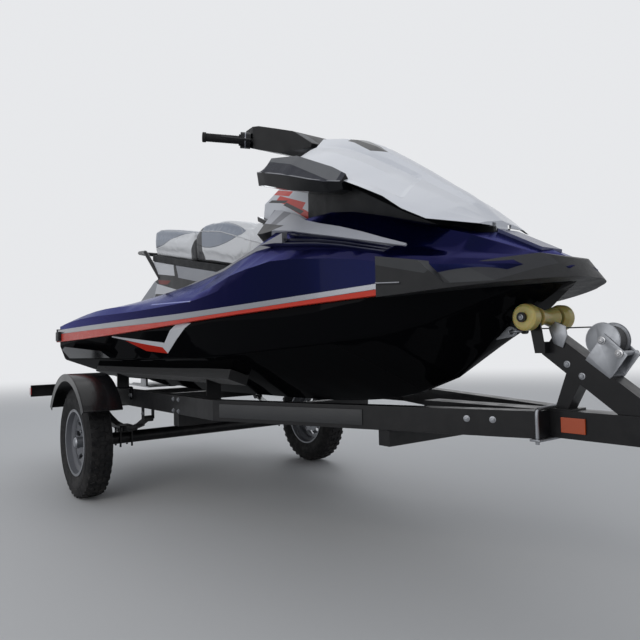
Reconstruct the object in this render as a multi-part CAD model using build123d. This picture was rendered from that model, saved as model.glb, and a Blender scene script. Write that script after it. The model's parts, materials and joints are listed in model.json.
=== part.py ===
# Personal watercraft held on its single-axle trailer, both level, as parked on the trailer's jack.
# Millimetres. +X forward, +Y to port, +Z up. The origin is on the ground, midway along the whole length.
# Craft pieces are drawn from the transom at keel height, trailer pieces from the ground under the axle.

from build123d import *
import math
import os

os.makedirs("parts", exist_ok=True)

# Whole object
STERN_OVERHANG = 1105        # transom behind the axle
STEP_STANDOFF = 38           # boarding step's tread behind the transom
COUPLER_REACH = 3210         # coupler nose ahead of the axle
KEEL_HEIGHT = 475            # keel above the ground
AXLE_X = (STERN_OVERHANG + STEP_STANDOFF - COUPLER_REACH) / 2
CRAFT_X = AXLE_X - STERN_OVERHANG

# General clearances
RUNNING = 0.05               # radial clearance of a pin or shaft in its bore
SEAT_GAP = 0.3               # a moving or soft piece over what it rests on
REACH = 2000                 # longer than any cut needs

# Craft outline and joint line between hull and deck
TRANSOM_HALF = 500
RAIL_DEPTH = 22              # rub rail proud of hull and deck
RAIL_ROOT = 60               # how far in the rail stock starts before it is cut back to the shell
SHELL_TOP = 460              # hull stock above the joint line, trimmed away
BOND = (338, 1700, 16500)    # joint line: height aft, station where it starts to rise, radius of the rise
RAIL_BOTTOM = (296, 0, 56000)
RAIL_SPLIT = (344, 1700, 16500)
RAIL_TOP = (370, 1900, 14500)
RAIL_AFT = 118               # station where the rails start
BUMPER_AFT = 2932            # station where the bow bumper takes over

# Hull sections
# station, keel height, chine half-breadth and height, side half-breadth and height
HULL_SECTIONS = (
    (0, 0, 490, 180, 590, 340),
    (1000, 0, 500, 183, 610, 345),
    (1900, 4, 500, 192, 606, 350),
    (2250, 10, 480, 205, 576, 355),
    (2500, 27, 446, 224, 546, 365),
    (2700, 62, 400, 241, 500, 378),
    (2860, 118, 342, 258, 444, 392),
    (2980, 206, 270, 290, 384, 402),
    (3090, 296, 192, 334, 306, 412),
    (3220, 374, 92, 388, 200, 425),
    (3322, 410, 24, 414, 74, 440),
)
KEEL_FLAT = 15
CHINE_LIP = 14
CHINE_RISE = 10

# Deck sections, half-breadth and height of each crease
# station, centre height, bulge, shoulder, inner crest, outer crest, side half-breadth
DECK_SECTIONS = (
    (0, 385, (180, 385), (300, 385), (430, 390), (520, 386), 560),
    (350, 420, (190, 420), (320, 420), (440, 428), (545, 420), 596),
    (1000, 474, (200, 474), (350, 474), (426, 474), (552, 452), 608),
    (1700, 512, (200, 512), (350, 512), (422, 512), (550, 438), 606),
    (2050, 600, (220, 600), (345, 580), (420, 545), (548, 440), 600),
    (2300, 700, (250, 710), (337, 662), (420, 588), (538, 488), 578),
    (2530, 712, (252, 705), (338, 619), (424, 565), (524, 508), 542),
    (2750, 680, (240, 656), (325, 567), (402, 535), (476, 486), 486),
    (2930, 634, (215, 598), (292, 523), (352, 496), (402, 466), 414),
    (3080, 570, (180, 546), (240, 490), (284, 472), (316, 450), 322),
    (3220, 498, (108, 484), (146, 470), (182, 455), (206, 442), 214),
    (3318, 440, (24, 438), (42, 436), (58, 434), (72, 430), 84),
)
DECK_SKIRT = 250             # deck stock below the joint line, trimmed away
FAIRED_SHELL = 170           # longest step between the sections of hull and deck
FAIRED_HOOD = 110

# Cockpit
FLOOR_HEIGHT = 352
FOOTWELL_AFT = 400
FOOTWELL_FRONT = 2040
FOOTWELL_HALF = 405
FOOTWELL_FLOOR_HALF = 378
PLATFORM_HALF = 470
MAT_THICKNESS = 6
MAT_EDGE = 16

# Engine and its bay
ENGINE_AFT = 1100
ENGINE_LENGTH = 690
ENGINE_WIDTH = 330
ENGINE_HEIGHT = 315
BAY_FLOOR = 96
BAY_CLEAR = 36
HATCH_CLEAR = 12

# Pump tunnel and pump
PUMP_HEIGHT = 120            # pump axis above the keel
TUNNEL_LENGTH = 560
TUNNEL_HALF = 152
TUNNEL_TOP = 296
INTAKE_HALF = 60
PUMP_OD = 190
PUMP_BORE = 164
PUMP_AFT = 250
PUMP_FLANGE = 12
OUTLET_OD = 92
OUTLET_WALL = 5
OUTLET_AFT = 216
NOZZLE_PIVOT_X = 222
NOZZLE_OD = 134
NOZZLE_WALL = 7
NOZZLE_AFT = 112
NOZZLE_EXIT_OD = 98
NOZZLE_PIN = 6
NOZZLE_EAR = 8
BUCKET_PIVOT = (192, 165)    # station and height
BUCKET_RADIUS = 150
BUCKET_HALF = 134
BUCKET_SKIN = 5
BUCKET_LOW = 2               # degrees above level of the stowed scoop's lower edge
BUCKET_SPAN = 54
BUCKET_PIN = 6
IMPELLER_AFT = 400
IMPELLER_LENGTH = 110
IMPELLER_HUB = 36
IMPELLER_CLEAR = 5
BLADES = 3
BLADE_TWIST = 80
BLADE_THICKNESS = 5
VANES = 6
SHAFT_R = 14
BEARING_DEPTH = 52           # how far the shaft's bearing reaches into the stator's hub

# Boarding step
STEP_HALF = 190
STEP_LENGTH = 205
STEP_TUBE = 11
STEP_PIVOT_HEIGHT = 150
STEP_PIN = 5
STEP_EAR = 6

# Seat and pedestal
SEAT_LINE = (745, 796, 1653, 622)     # station and height of both ends of the seat's lower edge
BAND_HEIGHT = 37
SEAT_SPLIT = 1261
REAR_SEAT_HALF = 186
FRONT_SEAT_HALF = 166
NOSE_HALF = 112
PEDESTAL_HALF = 226
PEDESTAL_TOP_HALF = 186
HANDLE_R = 12

# Steering
STEER_BASE = (2135, 975)     # station and height where the column leaves the console
STEER_RAKE = 32              # degrees aft of upright
COLUMN_R = 20
COLUMN_SUNK = 45
COLUMN_RISE = 130
BAR_R = 11
GRIP_R = 17
# station, half-breadth and height of the bar's bends and end
BAR_RUN = ((2062, 92, 1084), (1980, 232, 1122), (1872, 412, 1136))

# Glove lid
GLOVE_HINGE = (190, 9.6)     # up the console's sloping top, and off it
GLOVE_PIN = 3
GLOVE_KNUCKLE = 60

# Hood
HOOD_SKIN = 8
# station, ridge height, then half-breadth and height of the hump's shoulder, the valley beside it, the crown,
# the crease and the edge
HOOD_SECTIONS = (
    (2228, 1098, (56, 1092), (92, 1062), (140, 1040), (190, 1014), (222, 994)),
    (2450, 1034, (50, 1027), (90, 988), (160, 962), (238, 912), (286, 903)),
    (2650, 917, (42, 911), (84, 881), (162, 862), (250, 814), (310, 788)),
    (2850, 777, (32, 773), (70, 756), (150, 740), (245, 704), (308, 690)),
    (2980, 684, (20, 682), (48, 672), (104, 660), (180, 634), (258, 602)),
    (3058, 608, (8, 607), (20, 605), (44, 602), (80, 597), (112, 589)),
)
HOOD_SWEEP = 0.33            # how far the rear edge runs forward for each step outboard
HOOD_HINGE = (3050, 582)
HOOD_PIN = 5
# cowl under the hood: station, ridge height, crease, edge, foot
COWL_SECTIONS = (
    (2310, 968, (120, 948), (188, 905), (192, 640)),
    (2450, 950, (150, 920), (216, 862), (212, 640)),
    (2650, 850, (158, 822), (234, 764), (208, 600)),
    (2850, 722, (140, 700), (214, 650), (196, 540)),
    (2985, 634, (96, 618), (160, 580), (150, 480)),
)
# side panel aft of the deck's shoulder: station, then top and bottom half-breadth and height
PANEL_ROWS = (
    (2110, 215, 800, 302, 690),
    (2200, 230, 778, 330, 676),
    (2300, 246, 744, 346, 670),
)
PANEL_TOP = ((2300, 0.02), (2530, 0.56), (2750, 0.72), (2930, 0.93))   # share of the way from bulge to shoulder
PANEL_PROUD = 6
# strakes of the side vent: first and last share of the way down from shoulder to crest, aft station
STRAKES = ((0.06, 0.30, 2430), (0.38, 0.62, 2375), (0.68, 0.90, 2315))
STRAKE_FRONT = 2900
STRAKE_PROUD = 15
STRAKE_SUNK = 14
BIN_AFT = 2420
BIN_FRONT = 2860
BIN_HALF = 165
BIN_FLOOR = 470

# Trailer
TYRE_OD = 533
TYRE_WIDTH = 122
RIM_OD = 322
RIM_BEAD = 305
TRACK_HALF = 690
RAIL_HALF = 500
RAIL_TOP_Z = 515
RAIL_DEEP = 76
RAIL_WIDE = 50
RAIL_TAIL = -930
KINK_X = 1030
TONGUE_WIDE = 76
TONGUE_AFT = 1640
TONGUE_NOSE = 3040
DRAW_NOSE = 2114
AXLE_Z = TYRE_OD / 2
AXLE_TUBE = 60
SPINDLE_R = 15
AXLE_HALF = 618
HUB_OUT = 742
RIM_WIDTH = 104
RIM_HOLES = 10
SPRING_HALF = 320
SPRING_WIDE = 44
SPRING_LEAF = 7
SPRING_RISE = 70
SPRING_SHARES = (0.42, 0.72, 1)   # each leaf's reach, shortest first
BUNK_HALF = 350
BUNK_WIDE = 90
BUNK_DEEP = 42
BUNK_AFT = -760
BUNK_FRONT = 930
CROSS_DEEP = 50
CROSS_STATIONS = (-880, -430, 700)
FENDER_R = 334
FENDER_IN = 602
FENDER_OUT = 782
FENDER_SKIN = 3
FENDER_ARC = (31, 152)       # degrees from straight ahead
LAMP_END = 748
LAMP_DEEP = 34
BALL_X = 3165
BALL_Z = 470
BALL_R = 25.5
HOOK = (1997, 739)           # link between bow eye and strap, on the trailer's own stations
ROLLER_X = 2085
ROLLER_Z = 776
ROLLER_R = 38
ROLLER_WAIST = 21
ROLLER_HALF = 105
ROLLER_SPOOL = 44
ROLLER_PIN = 8
POST_FOOT = (2395, 490)
POST_HEAD = (2112, 700)
POST_WIDE = 70
DRUM = (2270, 706)
DRUM_R = 38
DRUM_FLANGE_R = 46
JACK_X = 2800
JACK_Z = 477
JACK_Y = 112
JACK_R = 25
JACK_WHEEL_R = 76


def craft(shape):
    """Move a piece drawn from the transom and keel to its place."""
    return Pos(CRAFT_X, 0, KEEL_HEIGHT) * shape


def trailer(shape):
    """Move a piece drawn from the ground under the axle to its place."""
    return Pos(AXLE_X, 0, 0) * shape


def both(shape):
    """The piece and its mirror image to starboard."""
    return [shape, shape.mirror(Plane.XZ)]


def save(node, shapes):
    """Write one node's solids to its file."""
    parts = shapes if isinstance(shapes, list) else [shapes]
    solids = []
    for part in parts:
        solids.extend(part.solids())
    body = solids[0] if len(solids) == 1 else Compound(children=solids)
    export_step(body, "parts/" + node + ".step")


def slab(points, half):
    """A side profile, station and height, as wide as half each side of the centreline."""
    face = make_face(Polyline(*[(x, 0, z) for x, z in points], close=True))
    return extrude(face, amount=half, dir=(0, 1, 0), both=True)


def bar_y(points, low, high):
    """A side profile, station and height, from one half-breadth to another."""
    face = make_face(Polyline(*[(x, low, z) for x, z in points], close=True))
    return extrude(face, amount=high - low, dir=(0, 1, 0))


def plan(points, low, high):
    """A plan shape, station and half-breadth, from one height to another."""
    face = make_face(Polyline(*[(x, y, low) for x, y in points], close=True))
    return extrude(face, amount=high - low, dir=(0, 0, 1))


def block(x_low, x_high, half, z_low, z_high):
    """A box about the centreline."""
    return Pos((x_low + x_high) / 2, 0, (z_low + z_high) / 2) * Box(x_high - x_low, 2 * half, z_high - z_low)


def rod_y(x, z, radius, low, high):
    """A round bar across the craft."""
    return Pos(x, (low + high) / 2, z) * Rot(90, 0, 0) * Cylinder(radius, high - low)


def section(x, half):
    """Closed wire across the craft at x, from the port half given centreline to centreline."""
    port = [(x, y, z) for y, z in half]
    starboard = [(x, -y, z) for y, z in reversed(half) if y > 0]
    return Wire.make_polygon([Vector(*p) for p in port + starboard], close=True)


def below(line):
    """Everything under a line along the craft that is level aft and rises forward on an arc."""
    level, start, radius = line
    end = 3600
    rise = [radius - math.sqrt(radius ** 2 - (x - start) ** 2) for x in ((start + end) / 2, end)]
    edges = [
        Line((-300, 0, level), (start, 0, level)),
        ThreePointArc((start, 0, level), ((start + end) / 2, 0, level + rise[0]), (end, 0, level + rise[1])),
        Line((end, 0, level + rise[1]), (end, 0, -400)),
        Line((end, 0, -400), (-300, 0, -400)),
        Line((-300, 0, -400), (-300, 0, level)),
    ]
    return extrude(make_face(edges), amount=900, dir=(0, 1, 0), both=True)


def outline(grow, low, high):
    """The craft's plan shape grown by grow, from one height to another."""
    side = [
        Line((0, 0), (0, TRANSOM_HALF)),
        Line((0, TRANSOM_HALF), (110, 572)),
        ThreePointArc((110, 572), (1100, 609), (2005, 600)),
        ThreePointArc((2005, 600), (2500, 543), (2925, 420)),
        ThreePointArc((2925, 420), (3125, 318), (3270, 190)),
        ThreePointArc((3270, 190), (3332, 98), (3350, 0)),
        Line((3350, 0), (0, 0)),
    ]
    half = make_face(side)
    face = half + half.mirror(Plane.XZ)
    if grow != 0:
        face = offset(face, amount=grow)
    return Pos(0, 0, low) * extrude(face, amount=high - low, dir=(0, 0, 1))


def flatten(row):
    values = []
    for item in row:
        values.extend(item if isinstance(item, tuple) else (item,))
    return values


def slopes(stations, values):
    """Slope at each station that keeps a curve through the values from overshooting."""
    steps = [b - a for a, b in zip(stations, stations[1:])]
    rises = [(b - a) / step for a, b, step in zip(values, values[1:], steps)]
    found = [rises[0]]
    for i in range(1, len(rises)):
        before, after = rises[i - 1], rises[i]
        if before * after <= 0:
            found.append(0)
        else:
            w1, w2 = 2 * steps[i] + steps[i - 1], steps[i] + 2 * steps[i - 1]
            found.append((w1 + w2) / (w1 / before + w2 / after))
    return found + [rises[-1]]


def faired(rows, longest):
    """The given rows with more between them on smooth curves, each as a flat list."""
    columns = list(zip(*[flatten(row) for row in rows]))
    stations = columns[0]
    grades = [slopes(stations, column) for column in columns]
    result = []
    for i in range(len(stations) - 1):
        length = stations[i + 1] - stations[i]
        count = math.ceil(length / longest)
        for k in range(count):
            t = k / count
            row = []
            for column, grade in zip(columns, grades):
                a, b = column[i], column[i + 1]
                ga, gb = grade[i] * length, grade[i + 1] * length
                row.append(a + t * (ga + t * (3 * (b - a) - 2 * ga - gb + t * (2 * (a - b) + ga + gb))))
            result.append(row)
    result.append(flatten(rows[-1]))
    return result


def hull_stock():
    """The hull's outside, with stock left above the joint line."""
    wires = []
    for x, keel, chine_y, chine_z, side_y, side_z in faired(HULL_SECTIONS, FAIRED_SHELL):
        half = [(0, SHELL_TOP), (side_y, SHELL_TOP), (side_y, side_z), (chine_y + CHINE_LIP, chine_z + CHINE_RISE),
                (chine_y, chine_z), (KEEL_FLAT, keel), (0, keel)]
        wires.append(section(x, half))
    return Solid.make_loft(wires, ruled=True)


def deck_stock():
    """The deck's outside, with stock left below the joint line."""
    wires = []
    for x, centre, *creases, side_y in faired(DECK_SECTIONS, FAIRED_SHELL):
        half = [(0, centre)] + list(zip(creases[::2], creases[1::2]))
        half += [(side_y, 392 if x < 2900 else 415), (side_y, DECK_SKIRT), (0, DECK_SKIRT)]
        wires.append(section(x, half))
    return Solid.make_loft(wires, ruled=True)


def engine_bay():
    """Space for the engine, from the bay floor up through the deck hatch into the pedestal."""
    aft = ENGINE_AFT - BAY_CLEAR
    front = ENGINE_AFT + ENGINE_LENGTH + BAY_CLEAR
    half = ENGINE_WIDTH / 2
    bay = block(aft, front, half + BAY_CLEAR, BAY_FLOOR, FLOOR_HEIGHT - 20)
    hatch = block(ENGINE_AFT - HATCH_CLEAR, front - BAY_CLEAR + HATCH_CLEAR, half + HATCH_CLEAR,
                  BAY_FLOOR, BAY_FLOOR + ENGINE_HEIGHT + HATCH_CLEAR)
    return bay + hatch


def storage_bin():
    """Space under the hood, open at the top."""
    length = BIN_FRONT - BIN_AFT
    tub = block(BIN_AFT, BIN_FRONT, BIN_HALF, BIN_FLOOR, BIN_FLOOR + length)
    slope = plan([(BIN_FRONT - 150, -BIN_HALF), (BIN_FRONT, -BIN_HALF + 60), (BIN_FRONT, BIN_HALF - 60),
                  (BIN_FRONT - 150, BIN_HALF), (BIN_AFT, BIN_HALF), (BIN_AFT, -BIN_HALF)],
                 BIN_FLOOR, BIN_FLOOR + length)
    return tub & slope


def footwell():
    """The cockpit: two footwells with sloping walls, open aft over the boarding platform."""
    top = FLOOR_HEIGHT + 400
    lean = (FOOTWELL_HALF - FOOTWELL_FLOOR_HALF) * 4
    wall = [(FOOTWELL_FLOOR_HALF, FLOOR_HEIGHT), (FOOTWELL_FLOOR_HALF + lean, top),
            (-FOOTWELL_FLOOR_HALF - lean, top), (-FOOTWELL_FLOOR_HALF, FLOOR_HEIGHT)]
    aft_end = make_face(Polyline(*[(FOOTWELL_AFT - 60, y, z) for y, z in wall], close=True))
    well = extrude(aft_end, amount=FOOTWELL_FRONT - FOOTWELL_AFT + 260, dir=(1, 0, 0))
    front = slab([(FOOTWELL_FRONT, FLOOR_HEIGHT), (FOOTWELL_FRONT + 150, top), (FOOTWELL_FRONT + 400, top),
                  (FOOTWELL_FRONT + 400, FLOOR_HEIGHT)], REACH / 2)
    deck_aft = plan([(-20, PLATFORM_HALF - 20), (FOOTWELL_AFT - 60, PLATFORM_HALF),
                     (FOOTWELL_AFT + 60, FOOTWELL_FLOOR_HALF), (FOOTWELL_AFT + 60, -FOOTWELL_FLOOR_HALF),
                     (FOOTWELL_AFT - 60, -PLATFORM_HALF), (-20, -PLATFORM_HALF + 20)], FLOOR_HEIGHT, top)
    return (well - front) + deck_aft


def tunnel():
    """The pump's tunnel in the hull, open aft and below."""
    box = block(-20, TUNNEL_LENGTH, TUNNEL_HALF, -40, TUNNEL_TOP)
    return box


def intake():
    """Sloping intake pocket in the hull bottom, ahead of the tunnel."""
    return slab([(TUNNEL_LENGTH + 20, -20), (TUNNEL_LENGTH + 20, 66), (TUNNEL_LENGTH + 60, 66),
                 (TUNNEL_LENGTH + 400, -20)], INTAKE_HALF)


def seat_line(x):
    """Height of the seat's lower edge at a station."""
    aft, high, front, low = SEAT_LINE
    return high + (low - high) * (x - aft) / (front - aft)


def column_axis(rise):
    """Place on the steering axis, so far above the console, with Z along the axis."""
    x, z = STEER_BASE
    rake = math.radians(STEER_RAKE)
    return Pos(x - rise * math.sin(rake), 0, z + rise * math.cos(rake)) * Rot(0, -STEER_RAKE, 0)


def pedestal():
    aft, high, front, low = SEAT_LINE
    side = [(560, FLOOR_HEIGHT), (548, 520), (757, 637), (806, 646), (806, 672), (772, 692), (aft - 2, 736),
            (aft - 2, high - BAND_HEIGHT),
            (front, low - BAND_HEIGHT), (1795, 606), (1935, 668), (2120, 668), (2120, FLOOR_HEIGHT)]
    body = slab(side, PEDESTAL_HALF)
    across = [(PEDESTAL_HALF, FLOOR_HEIGHT), (PEDESTAL_TOP_HALF, 640), (PEDESTAL_TOP_HALF, 900),
              (-PEDESTAL_TOP_HALF, 900), (-PEDESTAL_TOP_HALF, 640), (-PEDESTAL_HALF, FLOOR_HEIGHT)]
    shape = extrude(make_face(Polyline(*[(0, y, z) for y, z in across], close=True)), amount=REACH * 2, dir=(1, 0, 0))
    return body & shape


def seat_band():
    """Dark base moulding between the pedestal and the seats."""
    aft, high, front, low = SEAT_LINE
    line = [(aft, high - BAND_HEIGHT), (aft, high), (front, low), (1776, 643), (1912, 700), (1935, 668),
            (1795, 606), (front, low - BAND_HEIGHT)]
    half = plan([(aft - 10, REAR_SEAT_HALF + 4), (SEAT_SPLIT, REAR_SEAT_HALF + 2), (front, FRONT_SEAT_HALF + 4),
                 (1940, NOSE_HALF + 10), (1940, -NOSE_HALF - 10), (front, -FRONT_SEAT_HALF - 4),
                 (SEAT_SPLIT, -REAR_SEAT_HALF - 2), (aft - 10, -REAR_SEAT_HALF - 4)], 500, 900)
    return slab(line, REAR_SEAT_HALF + 4) & half


def seat_rear():
    aft = SEAT_LINE[0]
    split = SEAT_SPLIT - 2
    gap = SEAT_GAP
    profile = [
        Line((aft - 3, 0, seat_line(aft - 3) + gap), (693, 0, 918)),
        ThreePointArc((693, 0, 918), (702, 0, 936), (722, 0, 942)),
        Line((722, 0, 942), (820, 0, 940)),
        ThreePointArc((820, 0, 940), (1060, 0, 896), (split, 0, 850)),
        Line((split, 0, 850), (split, 0, seat_line(split) + gap)),
        Line((split, 0, seat_line(split) + gap), (aft - 3, 0, seat_line(aft - 3) + gap)),
    ]
    body = extrude(make_face(profile), amount=REAR_SEAT_HALF, dir=(0, 1, 0), both=True)
    across = plan([(680, 150), (760, REAR_SEAT_HALF - 6), (980, REAR_SEAT_HALF), (split, REAR_SEAT_HALF - 14),
                   (split, -REAR_SEAT_HALF + 14), (980, -REAR_SEAT_HALF), (760, -REAR_SEAT_HALF + 6),
                   (680, -150)], 600, 1000)
    return body & across


def seat_front():
    aft, high, front, low = SEAT_LINE
    split = SEAT_SPLIT + 2
    gap = SEAT_GAP
    profile = [
        Line((split, 0, seat_line(split) + gap), (split, 0, 828)),
        ThreePointArc((split, 0, 828), (1320, 0, 866), (1420, 0, 877)),
        ThreePointArc((1420, 0, 877), (1580, 0, 858), (1720, 0, 806)),
        ThreePointArc((1720, 0, 806), (1775, 0, 797), (1830, 0, 814)),
        Line((1830, 0, 814), (1878, 0, 812)),
        ThreePointArc((1878, 0, 812), (1903, 0, 796), (1911, 0, 768)),
        Line((1911, 0, 768), (1911, 0, 700 + gap)),
        Line((1911, 0, 700 + gap), (1776, 0, 643 + gap)),
        Line((1776, 0, 643 + gap), (front, 0, low + gap)),
        Line((front, 0, low + gap), (split, 0, seat_line(split) + gap)),
    ]
    body = extrude(make_face(profile), amount=REAR_SEAT_HALF, dir=(0, 1, 0), both=True)
    across = plan([(split, FRONT_SEAT_HALF), (1560, FRONT_SEAT_HALF), (1780, NOSE_HALF + 16), (1912, NOSE_HALF),
                   (1912, -NOSE_HALF), (1780, -NOSE_HALF - 16), (1560, -FRONT_SEAT_HALF),
                   (split, -FRONT_SEAT_HALF)], 500, 1000)
    return body & across


def grab_handle():
    """Bent bar behind the rear seat, with its feet on the pedestal."""
    port = [(826, 178, 650), (664, 202, 822), (474, 166, 846), (446, 120, 848)]
    points = port + [(x, -y, z) for x, y, z in reversed(port)]
    path = FilletPolyline(*points, radius=20)
    start = Plane(path @ 0, z_dir=path % 0)
    bar = sweep(start * Circle(HANDLE_R), path=path)
    return bar


def console():
    profile = [(1935, 668), (1950, 862), (2110, 950), (2215, 990), (2300, 975), (2330, 900), (2330, 560), (2120, 560),
               (2120, 668)]
    across = [(178, 560), (160, 860), (112, 1000), (-112, 1000), (-160, 860), (-178, 560)]
    shape = extrude(make_face(Polyline(*[(1900, y, z) for y, z in across], close=True)), amount=500, dir=(1, 0, 0))
    return slab(profile, 180) & shape


def glovebox():
    """Space under the glove lid."""
    return slab([(1976, 760), (2084, 760), (2084, 990), (1976, 990)], 78)


def glove_point(along, up):
    """Station and height of a point on the console's sloping top, measured up the slope and off it."""
    rise = math.atan2(950 - 862, 2110 - 1950)
    x = 1950 + along * math.cos(rise) - up * math.sin(rise)
    z = 862 + along * math.sin(rise) + up * math.cos(rise)
    return (x, z)


def glove_lid():
    """Lid on the console's sloping top, hinged at its front edge."""
    x, z = glove_point(*GLOVE_HINGE)
    lid = slab([glove_point(4, SEAT_GAP), glove_point(152, SEAT_GAP), glove_point(152, 7), glove_point(4, 7)], 98)
    arm = slab([glove_point(136, 2), glove_point(GLOVE_HINGE[0], 4), glove_point(GLOVE_HINGE[0], 14),
                glove_point(136, 8)], GLOVE_KNUCKLE)
    knuckle = rod_y(x, z, 6.5, -GLOVE_KNUCKLE, GLOVE_KNUCKLE)
    return (lid + arm + knuckle) - rod_y(x, z, GLOVE_PIN + RUNNING, -REACH, REACH)


def glove_hinge():
    """Pin of the glove lid and the two ears on the console that hold it."""
    x, z = glove_point(*GLOVE_HINGE)
    along = GLOVE_HINGE[0]
    ear = bar_y([glove_point(along - 9, -6), glove_point(along + 9, -6), glove_point(along + 6, 15),
                 glove_point(along - 6, 15)], GLOVE_KNUCKLE + SEAT_GAP, GLOVE_KNUCKLE + 10)
    return [rod_y(x, z, GLOVE_PIN, -GLOVE_KNUCKLE - 10, GLOVE_KNUCKLE + 10)] + both(ear)


def gauge():
    """Instrument housing ahead of the bars, tilted to the rider."""
    return slab([(2180, 978), (2174, 1010), (2210, 1038), (2254, 1030), (2284, 978)], 92)


def hood_stock(skin):
    """The hood's outside, or its inside when skin is taken off all round."""
    wires = []
    for x, ridge, *creases, edge_y, edge_z in faired(HOOD_SECTIONS, FAIRED_HOOD):
        foot = 60 if skin else 0
        half = [(0, ridge - skin)]
        half += [(y - skin / 2, z - skin) for y, z in zip(creases[::2], creases[1::2])]
        half += [(edge_y - skin, edge_z - skin / 2), (edge_y - skin, edge_z - foot - 1), (0, edge_z - foot - 1)]
        wires.append(section(x, half))
    return Solid.make_loft(wires, ruled=True)


def hood_shell():
    aft, front, wide = HOOD_SECTIONS[0][0], HOOD_SECTIONS[-1][0], 400
    inside = hood_stock(HOOD_SKIN) & block(aft - 10, front - HOOD_SKIN, wide, 300, 1200)
    swept = plan([(aft, 0), (aft + HOOD_SWEEP * wide, wide), (front + 10, wide), (front + 10, -wide),
                  (aft + HOOD_SWEEP * wide, -wide)], 300, 1200)
    shell = (hood_stock(0) - inside) & swept
    x, z = HOOD_HINGE
    lug = slab([(x - 34, z + 42), (x - 10, z), (x + 8, z + 6), (x + 4, z + 24)], 28)
    knuckle = rod_y(x, z, HOOD_PIN + 5, -28, 28)
    hood = (shell + lug + knuckle) - rod_y(x, z, HOOD_PIN + RUNNING, -40, 40)
    for notch in both(rod_y(x, z, 18, 29, 48)):
        hood = hood - notch
    return hood


def cowl():
    """Black base under the hood, with the storage bin open at its top and ears for the hood's pin."""
    wires = []
    for x, ridge, *creases in faired(COWL_SECTIONS, FAIRED_HOOD):
        wires.append(section(x, [(0, ridge)] + list(zip(creases[::2], creases[1::2])) + [(0, creases[-1])]))
    return Solid.make_loft(wires, ruled=True)


def hinge_ears():
    x, z = HOOD_HINGE
    ear = bar_y([(x - 90, z + 26), (x - 8, z + 8), (x + 8, z + 4), (x + 8, z - 14), (x - 90, z - 50)], 32, 42)
    return both(ear)


def mirror_shell():
    """Faceted black housing along the hood's lower edge, with a window aft for the glass."""
    # station, then half-breadth and height: inner top, top edge, crest, bottom edge
    rows = ((2196, 218, 908, 316, 922, 351, 914, 343, 862), (2254, 218, 950, 320, 960, 358, 900, 346, 850),
            (2411, 236, 912, 311, 930, 358, 852, 342, 797), (2604, 262, 800, 303, 842, 345, 784, 328, 750),
            (2672, 276, 762, 301, 802, 322, 774, 314, 748))
    wires = []
    for x, inner_y, inner_z, *edges in rows:
        port = [(inner_y, inner_z)] + list(zip(edges[::2], edges[1::2])) + [(inner_y, edges[-1])]
        wires.append(Wire.make_polygon([Vector(x, y, z) for y, z in port], close=True))
    return Solid.make_loft(wires, ruled=True)


def mirror_glass():
    """Mirror let into the housing's rear face."""
    return block(2194, 2198, 400, 872, 902) & bar_y([(2100, 860), (2300, 860), (2300, 910), (2100, 910)], 232, 334)


def engine():
    """Plain block with the engine's size and place."""
    return block(ENGINE_AFT, ENGINE_AFT + ENGINE_LENGTH, ENGINE_WIDTH / 2, BAY_FLOOR, BAY_FLOOR + ENGINE_HEIGHT)


def deck_mats():
    """Grip mats on the boarding platform and in both footwells."""
    low, high = FLOOR_HEIGHT, FLOOR_HEIGHT + MAT_THICKNESS
    aft = plan([(MAT_EDGE, PLATFORM_HALF - 40), (325, PLATFORM_HALF - 20), (400, PLATFORM_HALF - 70),
                (400, 70 - PLATFORM_HALF), (325, 20 - PLATFORM_HALF), (MAT_EDGE, 40 - PLATFORM_HALF)], low, high)
    side = plan([(470, PEDESTAL_HALF + MAT_EDGE), (470, FOOTWELL_FLOOR_HALF - MAT_EDGE),
                 (FOOTWELL_FRONT - MAT_EDGE, FOOTWELL_FLOOR_HALF - MAT_EDGE),
                 (FOOTWELL_FRONT - MAT_EDGE, PEDESTAL_HALF + MAT_EDGE)], low, high)
    return [aft] + both(side)


def off_line(first, last, share, rise):
    """A point that share of the way along a section line, standing so far off it to its left."""
    (ya, za), (yb, zb) = first, last
    wide = math.hypot(yb - ya, zb - za)
    return (ya + share * (yb - ya) - rise * (zb - za) / wide, za + share * (zb - za) + rise * (yb - ya) / wide)


def strake(low, high, aft):
    """A long ledge on the port shoulder, square below and running out to nothing at both ends."""
    wires = []
    for x, centre, by, bz, sy, sz, iy, iz, *rest in faired(DECK_SECTIONS, FAIRED_SHELL):
        if not aft - 60 < x < STRAKE_FRONT + 60:
            continue
        shoulder, crest = (sy, sz), (iy, iz)
        proud = STRAKE_PROUD * min(1, 0.3 + (STRAKE_FRONT - x) / 400)
        corners = [off_line(shoulder, crest, low, -STRAKE_SUNK), off_line(shoulder, crest, low, 1),
                   off_line(shoulder, crest, high, max(proud, 3)), off_line(shoulder, crest, high, -STRAKE_SUNK)]
        wires.append(Wire.make_polygon([Vector(x, y, z) for y, z in corners], close=True))
    return Solid.make_loft(wires, ruled=True) & block(aft, STRAKE_FRONT, REACH / 2, 400, 800)


def side_vents():
    """Three strakes in the channel below the port side panel."""
    return [strake(*row) for row in STRAKES]


def bow_ridge():
    """Raised strip down the middle of the bow, ahead of the hood."""
    return slab([(3078, 556), (3222, 480), (3224, 499), (3080, 575)], 52)


def steering_bar():
    starboard = [(x, -y, z) for x, y, z in reversed(BAR_RUN)]
    path = FilletPolyline(*(starboard + list(BAR_RUN)), radius=40)
    bar = sweep(Plane(path @ 0, z_dir=path % 0) * Circle(BAR_R), path=path)
    column = column_axis((COLUMN_RISE - COLUMN_SUNK) / 2) * Cylinder(COLUMN_R, COLUMN_RISE + COLUMN_SUNK)
    return bar + column


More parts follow.
